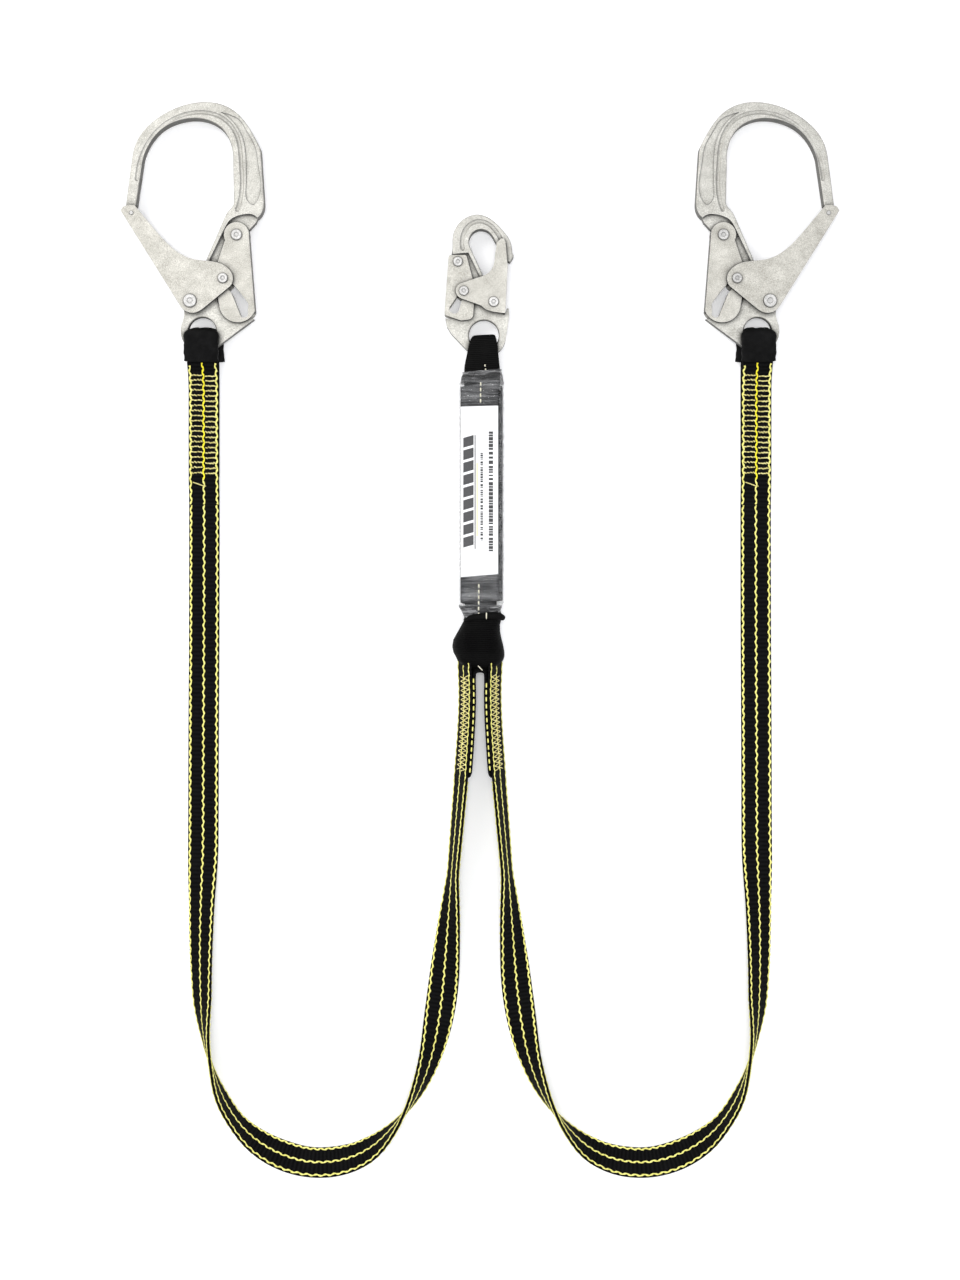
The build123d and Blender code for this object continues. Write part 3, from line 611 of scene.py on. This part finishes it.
def tracers(pile, strap, start, end):
    """The tracer lines on both faces of a strap."""
    for line, offset in enumerate(TRACER_AT):
        for face in (1, -1):
            strap.thread(pile, offset, start, end, face, phase=1.3 * line + 0.7 * face)


for side, word in SIDES:
    strap = leg_strap(side)
    leg = strap.mesh(word + "_leg_strap", LEG_BLACK, "webbing", RIB_PITCH, 0.26, TRACER_AT)
    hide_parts(word + "_leg_webbing")
    lines = Pile()
    tracers(lines, strap, THREAD_END, strap.length() - THREAD_END)
    tracer = lines.piece(word + "_leg_tracers", YELLOW, "webbing")

# ---- sewn loop at each rebar hook
LAYER_TOP = 4.7                 # centre of the strap over its own sewn tail
EYE_HALF = 7.5                  # centre of the strap off the hook's mid plane, in the eye
DIP_END = -152.0                # where the loop has come down to the table, from the eye
SEAM_TOP = 27.5                 # the threads start here, just below the sleeve
SEAM_LENGTH = 105.0
SLEEVE_THICK = 5.7
SLEEVE_REACH = 26.6             # how far below the eye's centre the sleeve comes
TACK_ROWS, TACK_PITCH, FIRST_TACK = 20, 4.56, 12.0
# The bar tacks of one row: where each lies across the strap, and its size.
TACKS = ((-10.0, 1.5), (-7.1, 1.5), (-4.2, 1.4), (-1.9, 0.9), (2.6, 1.2), (5.2, 1.5), (7.6, 1.5),
         (9.8, 1.4))


def loop_points(eye, over, crest, tail, upper_end):
    """Edge-on line of a strap: tail, under the hook, up through its eye and back over it."""
    y, z = eye.y, eye.z
    points = [(eye.x, y + a, b) for a, b in tail]
    points += [(eye.x, y - 18, z - over), (eye.x, y + crest - 9, z - over)]
    for turn in (15, 40, 65, 90, 115, 140, 165):
        rise, swing = math.sin(math.radians(turn)), math.cos(math.radians(turn))
        points.append((eye.x, y + crest - 5 + 5.4 * rise, z - 1.05 * over * swing))
    points += [(eye.x, y + crest - 9, z + over), (eye.x, y - 18, z + over)]
    return points + [(eye.x, y + a, b) for a, b in upper_end]


def waist(line, eye, narrow, wide):
    """Width of a strap gathered in the eye, and wide on both faces of the hook."""
    off = np.abs(line[:, 2] - eye.z)
    near = np.clip((line[:, 1] - (eye.y - 12.0)) / 8.0, 0.0, 1.0)
    inside = near * np.clip((7.5 - off) / 4.5, 0.0, 1.0)
    return wide - (wide - narrow) * inside * inside * (3 - 2 * inside)


def rebar_line(step=0.6):
    """The left hook loop's line."""
    return smooth_line(loop_points(
        REBAR_EYE, EYE_HALF, 0.4,
        ((-127, 1.55), (-80, 1.55), (-48, 1.55), (-38, 1.7), (-27, 3.2)),
        ((-27, 15.5), (-36, 8.8), (-44, 5.4), (-56, LAYER_TOP), (-100, LAYER_TOP),
         (-126, LAYER_TOP), (-136, LAYER_TOP - 1.2), (-146, 1.7), (DIP_END, 1.55))), step)


def up_face(strap):
    """Which face of a strap looks up at its last station."""
    return 1 if strap.normal[-1, 2] > 0 else -1


def hook_loop(side, word):
    """The leg's end turned through the hook's eye and sewn down on itself with bar tacks."""
    line = rebar_line()
    strap = mirrored_strap(line, SIDEWAYS, side, waist(line, REBAR_EYE, 19.0, WEB_WIDTH))
    body = strap.mesh(word + "_hook_loop_strap", LEG_BLACK, "webbing", RIB_PITCH, RIB_RELIEF,
                      TRACER_AT)
    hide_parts(word + "_hook_loop")
    lines, centre, tacks = Pile(), Pile(), Pile()
    face, end = up_face(strap), strap.length()
    top = np.argmax(strap.centres[:, 1])
    here = float(np.interp(SEAM_TOP - REBAR_EYE.y, -strap.centres[top:, 1], strap.reach[top:]))
    for offset, late in zip(TRACER_AT, (2.6, 0.0, 0.6)):
        pile, until = (lines, end - THREAD_END) if offset else (centre, here + SEAM_LENGTH)
        strap.thread(pile, offset, here + late, until, face, phase=offset)
    strap.thread(lines, 0.0, here + SEAM_LENGTH - 1.0, end - THREAD_END, face)
    for offset in TRACER_AT:
        strap.thread(lines, offset, THREAD_END, 60.0, face, phase=offset)
    lines.piece(word + "_loop_tracers", YELLOW, "webbing")
    centre.piece(word + "_loop_centre_line", BRIGHT_YELLOW, "webbing")
    draw = random.Random(7)
    for row in range(TACK_ROWS):
        reach = here + FIRST_TACK + row * TACK_PITCH
        for offset, length in TACKS:
            lean = draw.uniform(-0.1, 0.75)
            shift = 0.9 if offset > 0 else 0.0
            middle = reach + shift + draw.uniform(-0.25, 0.25)
            a, normal = strap.at(middle - lean, offset - length * 0.8, face)
            b, _ = strap.at(middle + lean, offset + length * 0.8, face)
            tacks.stitch(a, b, normal, 0.54, 0.4)
    loose = [(107.0, -9.5), (108.5, -5.0), (110.0, -1.0), (110.5, 2.0)]
    points, normals = zip(*(strap.at(here + reach, offset, face, 0.4) for reach, offset in loose))
    tacks.tube(points, normals, 0.45, 0.4)
    tacks.piece(word + "_bar_tacks", TACK_THREAD, "webbing")
    strap_end_stitches(strap, face, word)


def strap_end_stitches(strap, face, word):
    """The same rows come out underneath, through the tail."""
    back = Pile()
    for row in range(TACK_ROWS):
        reach = FIRST_TACK + row * TACK_PITCH
        for dot in range(len(TACKS)):
            a, normal = strap.at(reach - 0.3, -9.6 + dot * 2.6, face)
            b, _ = strap.at(reach + 0.3, -8.0 + dot * 2.6, face)
            back.stitch(a, b, normal, 0.4, 0.25)
    back.piece(word + "_bar_tacks_below", GOLD, "webbing")


def bell(values, middle, spread):
    """One at the middle, falling away on both sides."""
    return np.exp(-((values - middle) / spread) ** 2)


def wear_sleeve(side, word):
    """Tubular sleeve over the strap in the eye: bulged, creased, its rim notched at the crest."""
    line = rebar_line(0.5)
    top = int(np.argmax(line[:, 1]))
    covered = np.nonzero(line[:, 1] > REBAR_EYE.y - SLEEVE_REACH)[0]
    low, high = covered[0], covered[-1] + 1
    line, top = line[low:high].copy(), top - low
    way = np.linspace(0.0, 1.0, len(line))
    line[:, 0] += np.interp(way, [0.0, 0.42, 0.55, 1.0], [3.0, 1.5, -0.6, -0.7])
    width = waist(line, REBAR_EYE, 21.5, 30.4)
    width = width * (1.0 + 0.012 * np.sin(way * 31.0) + 0.01 * np.sin(way * 57.0 + 1.0))
    strap = mirrored_strap(line, SIDEWAYS, side, width, SLEEVE_THICK)
    share = both_ways([0.2, 0.4, 0.6, 0.76, 0.88, 0.95, 0.985, 1.0])[None, :]
    crown = (1.0 - np.abs(share) ** 4.5) ** 0.5
    reach = strap.reach[:, None]
    crease = (0.30 * np.sin(reach / 1.9 + 2.2 * share) * bell(share, 0.55, 0.4)
              + 0.28 * np.sin(reach / 2.6 - 3.0 * share + 1.0) * bell(share, -0.6, 0.35)
              + 0.16 * np.sin(reach / 1.1 + 9.0 * share))
    notch = bell(reach, strap.reach[top], 3.0) * bell(share, -0.12, 0.16)
    half = strap.thick / 2 * crown
    outer = half + (crease - 1.1 * notch) * crown
    rings = strap.rings(share[0], outer, np.broadcast_to(half, outer.shape))
    piece = finish_mesh(word + "_sleeve_tube", rings.reshape(-1, 3), ring_faces(*rings.shape[:2]),
                        SLEEVE)
    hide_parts(word + "_wear_sleeve")


for side, word in SIDES:
    hook_loop(side, word)
    wear_sleeve(side, word)

# ---- saddle and bridge
SADDLE_LEAN = -66.0             # tilt of both layers about their line, upper edges inwards
SADDLE_STEP = 0.6
EASE_LENGTH = 40.0              # over this length the ends come a degree nearer to lying flat
# The left halves of the two straps' lines, from the legs up to the middle.
SADDLE_HALF = [LEG_ROUTE[-1], (-15.6, -282.0), (-14.2, -262.0), (-12.9, -240.0), (-12.5, -220.0),
               (-13.1, -204.0), (-13.6, -192.0), (-11.6, -183.0), (-5.0, -179.2)]
BRIDGE_HALF = [(-13.5, -295.5), (-12.2, -282.0), (-10.9, -262.0), (-9.6, -240.0), (-9.2, -222.0),
               (-9.7, -208.0), (-9.0, -200.6), (-4.0, -197.0)]
BRIDGE_TAPER = 7.0              # its ends are rounded over this length
SEAM_START, SEAM_END = 8.0, 93.0
ZIGZAG_PITCH = 4.1
EDGE_STITCH, EDGE_PITCH = 3.4, 6.0
UNDER_KNOT = 16.0               # no edge stitches this near the bridge's middle


def saddle_strap(half, taper=0.0):
    """An inverted U of webbing standing on its lower edge and leaning inwards."""
    whole = half + [(-x, y) for x, y in reversed(half)]
    height = standing_height(SADDLE_LEAN)
    line = smooth_line([(x, y, height) for x, y in whole], SADDLE_STEP)
    near = np.minimum(line[:, 1] - line[:, 1].min(), EASE_LENGTH) / EASE_LENGTH
    across = planar_across(line, SADDLE_LEAN + 1.0 - near)
    width = np.full(len(line), WEB_WIDTH)
    if taper:
        reach = np.arange(len(line)) * SADDLE_STEP
        gap = np.minimum(reach, reach[-1] - reach)
        rounded = np.clip(1.0 - gap / taper, 0.0, 1.0)
        width = width * (0.25 + 0.75 * np.sqrt(1.0 - rounded * rounded))
    return Strap(line, across, width)


def zigzag(pile, strap, start, end, low, high):
    """A zigzag seam on the outer face, its points joined by straight thread."""
    half_pitch = ZIGZAG_PITCH / 2
    turns = int((end - start) / half_pitch)
    corners = [(start + turn * half_pitch, low if turn % 2 else high) for turn in range(turns + 1)]
    for (a, offset_a), (b, offset_b) in zip(corners, corners[1:]):
        shares = np.linspace(0.0, 1.0, 6)
        at = a + (b - a) * shares
        offsets = offset_a + (offset_b - offset_a) * shares
        points, normals = strap.at(at, offsets, 1, 0.15)
        points = points + normals * (0.25 * np.sin(math.pi * shares))[:, None]
        pile.tube(points, normals, 0.4, 0.36)


saddle = saddle_strap(SADDLE_HALF)
saddle_piece = saddle.mesh("saddle_webbing", LEG_BLACK, "webbing", RIB_PITCH, RIB_RELIEF,
                           TRACER_AT)
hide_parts("saddle_strap")
bridge = saddle_strap(BRIDGE_HALF, BRIDGE_TAPER)
bridge_piece = bridge.mesh("bridge_webbing", LEG_BLACK, "webbing", RIB_PITCH, RIB_RELIEF,
                           TRACER_AT)
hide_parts("bridge_strap")

saddle_lines, saddle_seam, edge_line = Pile(), Pile(), Pile()
for offset in TRACER_AT:
    saddle.thread(saddle_lines, offset, 0.3, saddle.length() - 0.3, phase=offset,
                  half_width=0.35 if offset > 0 else 0.6)
far_end = saddle.length()
for near, far in ((SEAM_START, SEAM_END), (far_end - SEAM_END, far_end - SEAM_START)):
    zigzag(saddle_seam, saddle, near, far, -10.6, -1.0)
    zigzag(saddle_seam, saddle, near + 1.2, far, -3.2, 6.2)
upper_edge = (bridge.centres - bridge.across * (WEB_WIDTH / 2 - 0.3)
              + bridge.normal * (WEB_THICK / 2 + 0.1))
for reach in np.arange(EDGE_PITCH, bridge.length() - 8.0, EDGE_PITCH):
    if abs(reach - bridge.length() / 2) > UNDER_KNOT:
        a, b = (np.array([np.interp(r, bridge.reach, upper_edge[:, k]) for k in range(3)])
                for r in (reach, reach + EDGE_STITCH))
        edge_line.stitch(a, b, UP, 0.6, 0.6)
saddle_lines.piece("saddle_tracers", YELLOW, "webbing")
saddle_seam.piece("saddle_zigzag", GOLD, "webbing")
edge_line.piece("saddle_edge_stitches", YELLOW, "webbing")

# ---- snap loop and junction loop
snap_line = smooth_line(loop_points(
    SNAP_EYE, 5.6, -1.2,
    ((-88.8, 11.4), (-60, 11.4), (-34, 11.3), (-26, 8.0)),
    ((-26, 15.0), (-34, 14.7), (-60, 14.6), (-88.8, 14.6))), 0.5)
down = -snap_line[:, 1]
snap_line[:, 0] += np.interp(down, [-SNAP_EYE.y, 30.0 - SNAP_EYE.y], [0.0, -1.6])
snap_width = np.interp(down, [-94.0, -90.0, -85.0, -66.0, -60.0], [19.5, 22.5, 25.0, 31.0, 31.5])
snap_strap = Strap(snap_line, (1.0, 0.06, 0.0), snap_width)
snap_piece = snap_strap.mesh("snap_loop_strap", PACK_BLACK, "webbing", TEAR_RIB_PITCH, 0.22)
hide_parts("snap_loop")

# The junction loop's lower layer: down out of the pack, under the legs and up to the knot.
JUNCTION_UNDER = [(0.7, -100.0, 11.4), (0.7, -130.0, 11.4), (0.7, -154.0, 11.2), (0.7, -164.0, 5.0),
                  (0.7, -174.0, 1.6), (0.7, -188.0, 1.6), (0.7, -196.0, 2.2), (0.7, -199.5, 9.0),
                  (0.7, -199.5, 17.0), (0.7, -195.0, 23.5), (0.7, -187.0, 25.0)]
UNDER_STEP = 0.6
under_line = smooth_line(JUNCTION_UNDER, UNDER_STEP)
under_width = np.interp(np.arange(len(under_line)) * UNDER_STEP, [0, 66, 84, 96, 106, 130],
                        [28, 28, 27, 15, 9, 12])
under = Strap(under_line, SIDEWAYS, under_width)
under_piece = under.mesh("junction_loop_under", PACK_BLACK, "webbing", FINE_RIB_PITCH, 0.18)
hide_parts("junction_loop")

KNOT_WALL = 2.6
# The knot along Y: left edge, right edge, crown height and lower edge height.
KNOT = [
    (-149.5, -11.8, 17.6, 19.5, 10.0), (-153.0, -12.6, 19.0, 21.8, 9.0),
    (-157.0, -14.8, 19.2, 23.6, 7.5), (-162.0, -17.4, 17.6, 25.4, 5.5),
    (-168.0, -20.6, 17.8, 27.2, 4.0), (-174.0, -23.6, 19.2, 28.6, 3.0),
    (-180.0, -24.6, 20.8, 29.2, 2.4), (-185.0, -23.6, 21.6, 29.0, 2.2),
    (-189.0, -21.4, 21.6, 28.2, 2.4), (-193.0, -19.6, 20.2, 27.0, 6.0),
    (-196.5, -15.0, 16.0, 25.2, 12.0), (-199.5, -10.0, 11.0, 22.0, 15.0),
    (-201.5, -6.5, 7.5, 18.5, 15.2),
]


def knot_mesh():
    """The loop's upper layer, spread over the two legs like a hood and drawn in at both ends."""
    table = np.array(KNOT)[::-1]
    ys = np.linspace(table[-1, 0], table[0, 0], 150)
    left, right, crown, low = (softened(np.interp(ys, table[:, 0], table[:, column]), 13)
                               for column in range(1, 5))
    turn = np.linspace(math.pi, 0.0, 57)
    cos, sin = np.cos(turn), np.sin(turn)
    flat = np.sign(cos) * np.abs(cos) ** 0.8
    dome = np.abs(sin) ** 0.62
    rings = []
    for index, y in enumerate(ys):
        centre, half = (left[index] + right[index]) / 2, (right[index] - left[index]) / 2
        x = centre + half * flat
        z = low[index] + (crown[index] - low[index]) * dome
        ribbed = (np.clip((15.5 - np.abs(x - 0.7)) / 2.5, 0, 1) * np.clip((-162.0 - y) / 3.0, 0, 1)
                  * np.clip((y + 188.0) / 3.0, 0, 1))
        rib = 0.42 * ribbed * np.cos(2 * math.pi * (y + 0.05 * x) / FINE_RIB_PITCH)
        fold = 0.55 * np.sin((x + 0.9 * y) / 2.6) * (1.0 - ribbed) * np.clip(dome * 1.5, 0, 1)
        slant = 0.09 * x * np.clip((y + 175.0) / 20.0, 0, 1)
        outer = np.stack([x, np.full_like(x, y) + slant, z + rib + fold * 0.6], axis=1)
        inset = np.stack([centre + (half - KNOT_WALL) * flat, outer[:, 1],
                          z - KNOT_WALL * (0.35 + 0.65 * dome)], axis=1)
        rings.append(np.concatenate([outer, inset[::-1]]))
    rings = np.array(rings)
    uvs = rings[..., :2].reshape(-1, 2)
    finish_mesh("junction_loop_upper", rings.reshape(-1, 3), ring_faces(*rings.shape[:2]),
                KNOT_BLACK, uvs=uvs)


knot_mesh()
lip = Pile()
lip_line = smooth_line([(-13.4, -157.0, 16.5), (-9.0, -155.4, 21.8), (0.0, -154.0, 23.0),
                        (10.0, -153.0, 23.0), (17.0, -153.4, 21.6), (20.2, -155.0, 15.5)], 0.6)
swell = np.interp(np.linspace(0, 1, len(lip_line)), [0, 0.1, 0.85, 1.0], [1.4, 2.3, 2.9, 2.2])
lip.tube(lip_line, UP, swell * 1.15, swell, sides=16)
lip.piece("junction_loop_lip", KNOT_BLACK, "webbing")

# Loose cream stitches: on the knot's lip, at the foot of the snap loop and below the knot.
cream = Pile()
cream.stitch((5.6, -150.6, 25.4), (5.6, -155.9, 25.4), UP, 0.5, 0.5)
for x, y in ((4.4, 66.6), (4.9, 63.0)):
    cream.stitch((x, y - 0.7, 16.3), (x, y + 0.7, 16.3), UP, 0.6, 0.45)
for offset, x in ((0.0, -1.6), (4.6, 0.5), (6.2, 3.0)):
    cream.stitch((x, -197.0 + offset, 25.5), (x + 3.8, -201.0 + offset, 24.5), UP, 0.42, 0.5)

# ---- shock pack
CORE_THICK = 2.2                # one layer of the tear webbing
STACK_ENDS = (47.0, -139.5)
FILM_THICK = 0.3
EASED = 2.2                     # how far the pack's corners are rounded
# The pack along Y: left and right at the top face and at the table, then lowest and highest.
PACK = [
    (61.6, -15.6, 17.9, -14.6, 18.4, 5.6, 20.6), (60.0, -15.4, 18.0, -14.6, 18.6, 5.4, 20.8),
    (56.0, -16.2, 18.0, -15.6, 19.6, 3.2, 23.6), (52.4, -17.0, 17.4, -16.4, 20.2, 1.4, 25.4),
    (51.4, -18.2, 17.2, -17.4, 21.0, 0.6, 26.9), (50.2, -18.4, 17.0, -17.5, 21.2, 0.5, 27.1),
    (49.0, -17.9, 16.5, -17.0, 21.0, 0.5, 26.3), (40.0, -17.8, 16.4, -16.8, 21.4, 0.4, 26.1),
    (-20.0, -17.6, 16.3, -16.8, 21.6, 0.4, 25.9), (-80.0, -17.8, 16.4, -16.8, 21.5, 0.4, 26.0),
    (-138.0, -17.8, 16.4, -16.8, 21.2, 0.4, 26.1), (-141.6, -18.0, 16.6, -17.0, 21.0, 0.5, 26.4),
    (-142.8, -18.5, 17.2, -17.4, 21.2, 0.6, 27.1), (-144.0, -18.0, 17.0, -17.0, 20.6, 0.9, 26.7),
    (-145.2, -17.0, 16.6, -16.2, 19.8, 1.8, 25.2), (-149.0, -15.4, 16.4, -14.6, 18.2, 3.6, 23.2),
    (-153.4, -13.4, 15.8, -12.8, 16.4, 6.2, 20.6), (-155.0, -13.2, 15.6, -12.6, 16.2, 6.4, 20.2),
]


def pack_ring(left, right, foot_left, foot_right, low, high):
    """Points round the pack's cross-section, its corners eased."""
    corners = np.array([(left, high), (right, high), (foot_right, low), (foot_left, low)])
    ring = []
    for index, corner in enumerate(corners):
        before, after = corners[index - 1], corners[(index + 1) % 4]
        start = corner + (before - corner) / np.linalg.norm(before - corner) * EASED
        stop = corner + (after - corner) / np.linalg.norm(after - corner) * EASED
        for share in np.linspace(0, 1, 5):
            left_over = 1 - share
            ring.append(left_over ** 2 * start + 2 * share * left_over * corner + share ** 2 * stop)
        next_start = after + (corner - after) / np.linalg.norm(after - corner) * EASED
        for share in np.linspace(0, 1, 16)[1:-1]:
            ring.append(stop + (next_start - stop) * share)
    return np.array(ring)


def noise_at(points, scale, seed):
    """Smooth unevenness of unit size at points in millimetres."""
    from_seed = Vector((seed, seed * 1.7, seed * 0.3))
    return np.array([noise.noise(Vector(p) * scale + from_seed) for p in points])


def film_mesh():
    """Shrink film: tight on its flat faces, ridged at the end seams, wrinkled at the necks."""
    table = np.array(PACK)[::-1]
    ys = np.concatenate([np.linspace(61.6, 46.0, 40), np.linspace(45.0, -137.0, 130),
                         np.linspace(-138.0, -155.0, 44)])
    rings = []
    for y in ys:
        ring = pack_ring(*(np.interp(y, table[:, 0], table[:, k]) for k in range(1, 7)))
        rings.append(np.stack([ring[:, 0], y + PACK_LEAN * ring[:, 0], ring[:, 1]], axis=1))
    rings = np.array(rings)
    flat = rings.reshape(-1, 3)
    centre = np.array([1.0, 0.0, 13.0])
    out = unit((flat - centre) * np.array([1.0, 0.0, 1.0]))
    stretched = flat * np.array([0.05, 1.0, 0.05])
    wrinkle = noise_at(stretched, 0.35, 3.0) * 0.35 + noise_at(flat, 0.16, 9.0) * 0.35
    neck = np.clip(np.maximum(flat[:, 1] - 50.0, -143.0 - flat[:, 1]) / 3.0, 0.0, 1.0)
    pleat = noise_at(flat * np.array([1.0, 0.25, 1.0]), 0.5, 5.0) * neck * 1.1
    under_label = np.where((flat[:, 2] > 25.0) & (np.abs(flat[:, 1] + 45.0) < 76.0), 0.25, 1.0)
    flat = flat + out * ((wrinkle + pleat) * under_label)[:, None]
    flat[:, 2] = np.maximum(flat[:, 2], FILM_THICK)
    faces = ring_faces(*rings.shape[:2], closed_ends=False)
    piece = finish_mesh("shrink_film", flat, faces, FILM)
    wall = piece.modifiers.new("wall", "SOLIDIFY")
    wall.thickness, wall.offset = FILM_THICK * MM, -1.0
    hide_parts("shrink_cover")


def folded(name, node, layers, width, ends, shift):
    """Webbing folded to and fro in long layers, at these heights, with tight round turns."""
    top, bottom = ends
    points = []
    for index, z in enumerate(layers):
        a, b = (top, bottom) if index % 2 == 0 else (bottom, top)
        step = 1.0 if a > b else -1.0
        points += [(shift, a, z), (shift, a - 2.0 * step, z), (shift, a - 20.0 * step, z),
                   (shift, b + 20.0 * step, z), (shift, b + 2.0 * step, z), (shift, b, z)]
        if index < len(layers) - 1:
            points.append((shift, b - 1.0 * step, (z + layers[index + 1]) / 2))
    line = smooth_line(points, 0.7)
    strap = Strap(line, (1.0, PACK_LEAN, 0.0), width, CORE_THICK)
    piece = strap.mesh(name, CORE_GREY, "tear_webbing", TEAR_RIB_PITCH, 0.3)
    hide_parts(node)


film_mesh()
folded("tear_webbing_stack_lower", "tear_webbing_lower", (1.9, 4.5, 7.1), 36.2, STACK_ENDS, 1.9)
folded("tear_webbing_stack_upper", "tear_webbing_upper", (18.6, 21.2, 23.8), 33.0, STACK_ENDS, -0.6)
folded("backup_strap_folded", "backup_strap", (9.9,), 26.0, (-2.0, -93.0), 0.0)
# The centre stitch shows on both sides of the label.
for y in np.arange(50.5, -152.0, -4.9):
    if -124.0 < y < 31.0:
        continue
    x = np.interp(y, [-142.0, 50.0], [-1.2, 0.6])
    height = np.interp(y, [-152.0, -144.5, 50.5], [21.5, 26.3, 26.4])
    cream.stitch((x, y, height), (x, y - 2.7, height - 0.1), UP, 0.62, 0.35)
cream.piece("pack_stitches", CREAM, "webbing")

# ---- label, with marks that spell nothing
LABEL_TOP, LABEL_BOTTOM = 29.3, -119.6
LABEL_LEFT, LABEL_RIGHT = -16.9, 15.9
LABEL_Z = 26.75
LABEL_THICK = 0.35
INK_LOW, INK_HIGH = LABEL_Z - 0.1, LABEL_Z + 0.2


def slab(outline, low, high):
    """Vertices and faces of a thin plate with this outline."""
    count = len(outline)
    verts = [(x, y, low) for x, y in outline] + [(x, y, high) for x, y in outline]
    faces = [tuple(range(count - 1, -1, -1)), tuple(range(count, 2 * count))]
    faces += [(i, (i + 1) % count, count + (i + 1) % count, count + i) for i in range(count)]
    return verts, faces


def label_sheet():
    """The label: a thin sheet that follows the film, its long edges turned down a little."""
    columns, rows = 25, 121
    across, along = np.meshgrid(np.linspace(0, 1, columns), np.linspace(0, 1, rows))
    x = LABEL_LEFT + (LABEL_RIGHT - LABEL_LEFT) * across
    slant = PACK_LEAN * (x - LABEL_LEFT) * (0.35 + 0.65 * along)
    y = LABEL_TOP + (LABEL_BOTTOM - LABEL_TOP) * along + slant
    turned_down = 0.5 * np.abs(2 * across - 1) ** 8
    spots = np.stack([x, y, x * 0], axis=-1).reshape(-1, 3)
    ripple = noise_at(spots, 0.05, 2.0).reshape(x.shape) * 0.06
    z = LABEL_Z - turned_down + ripple * (1 - across) * across * 4
    top = np.stack([x, y, z], axis=-1).reshape(-1, 3)
    under = top - np.array([0.0, 0.0, LABEL_THICK])
    count = rows * columns
    verts = np.concatenate([top, under])
    faces = []
    for row in range(rows - 1):
        for column in range(columns - 1):
            a = row * columns + column
            quad = (a, a + columns, a + columns + 1, a + 1)
            faces += [quad, tuple(count + v for v in reversed(quad))]
    edge = ([c for c in range(columns)] + [r * columns + columns - 1 for r in range(1, rows)]
            + [(rows - 1) * columns + c for c in range(columns - 2, -1, -1)]
            + [r * columns for r in range(rows - 2, 0, -1)])
    for a, b in zip(edge, edge[1:] + edge[:1]):
        faces.append((a, b, count + b, count + a))
    piece = finish_mesh("label_sheet", verts, faces, LABEL)
    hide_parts("pack_label")


def marks(name, material, boxes, skew=0.0):
    """Plain printed bars, each x0, x1, y0, y1, standing slightly proud of the label."""
    verts, faces = [], []
    for x0, x1, y0, y1 in boxes:
        outline = [(x0, y0), (x1, y0 + skew), (x1, y1 + skew), (x0, y1)]
        more, sides = slab(outline, INK_LOW, INK_HIGH)
        faces += [tuple(v + len(verts) for v in face) for face in sides]
        verts += more
    finish_mesh(name, verts, faces, material, smooth=False)


def dashes(x0, x1, start, end, seed, longest):
    """A run of short bars and gaps, like words too small to read."""
    draw, at, boxes = random.Random(seed), start, []
    while at > end:
        length = draw.uniform(0.35, 1.0) * longest
        boxes.append((x0, x1, max(end, at - length), at))
        at -= length + draw.choice((0.55, 0.55, 1.6))
    return boxes


label_sheet()
band = [(-14.6, -5.6, y - 8.6, y) for y in np.arange(2.0, -94.0, -10.9)]
marks("label_band", INK_GREY, band, 2.6)
marks("label_band_shade", INK, [(-4.7, -3.9, -95.0, 4.6)])
marks("label_line", INK_YELLOW, [(-2.9, -2.2, -84.0, -19.6)])
marks("label_small_marks", INK, dashes(0.4, 2.6, -11.0, -87.5, 4, 2.0))
marks("label_lower_marks", INK, dashes(7.6, 11.4, 7.6, -97.0, 9, 3.2))

# ---- floor
floor_mesh = bpy.data.meshes.new("floor")
corners = [(-1, -1), (1, -1), (1, 1), (-1, 1)]
floor_mesh.from_pydata([(x * FLOOR_REACH * MM, y * FLOOR_REACH * MM, -FLOOR_DROP * MM)
                        for x, y in corners], [], [(0, 1, 2, 3)])
floor_mesh.materials.append(floor_material())
floor = placed("floor", floor_mesh)

# ---- carried-over metal
METAL = {"hook_frame": FORGED, "gate": PLATE, "lock_lever": PLATE, "lever_rivet": RIVET,
         "gate_rivet": RIVET, "lock_pin": RIVET, "nose_pin": RIVET, "gate_spring": SPRING,
         "lever_spring": SPRING}
for prefix in ("left_", "right_", "snap_"):
    for word, metal in METAL.items():
        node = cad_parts.get(prefix + word)
        if node is None:
            continue
        node.data.materials.clear()
        node.data.materials.append(metal)
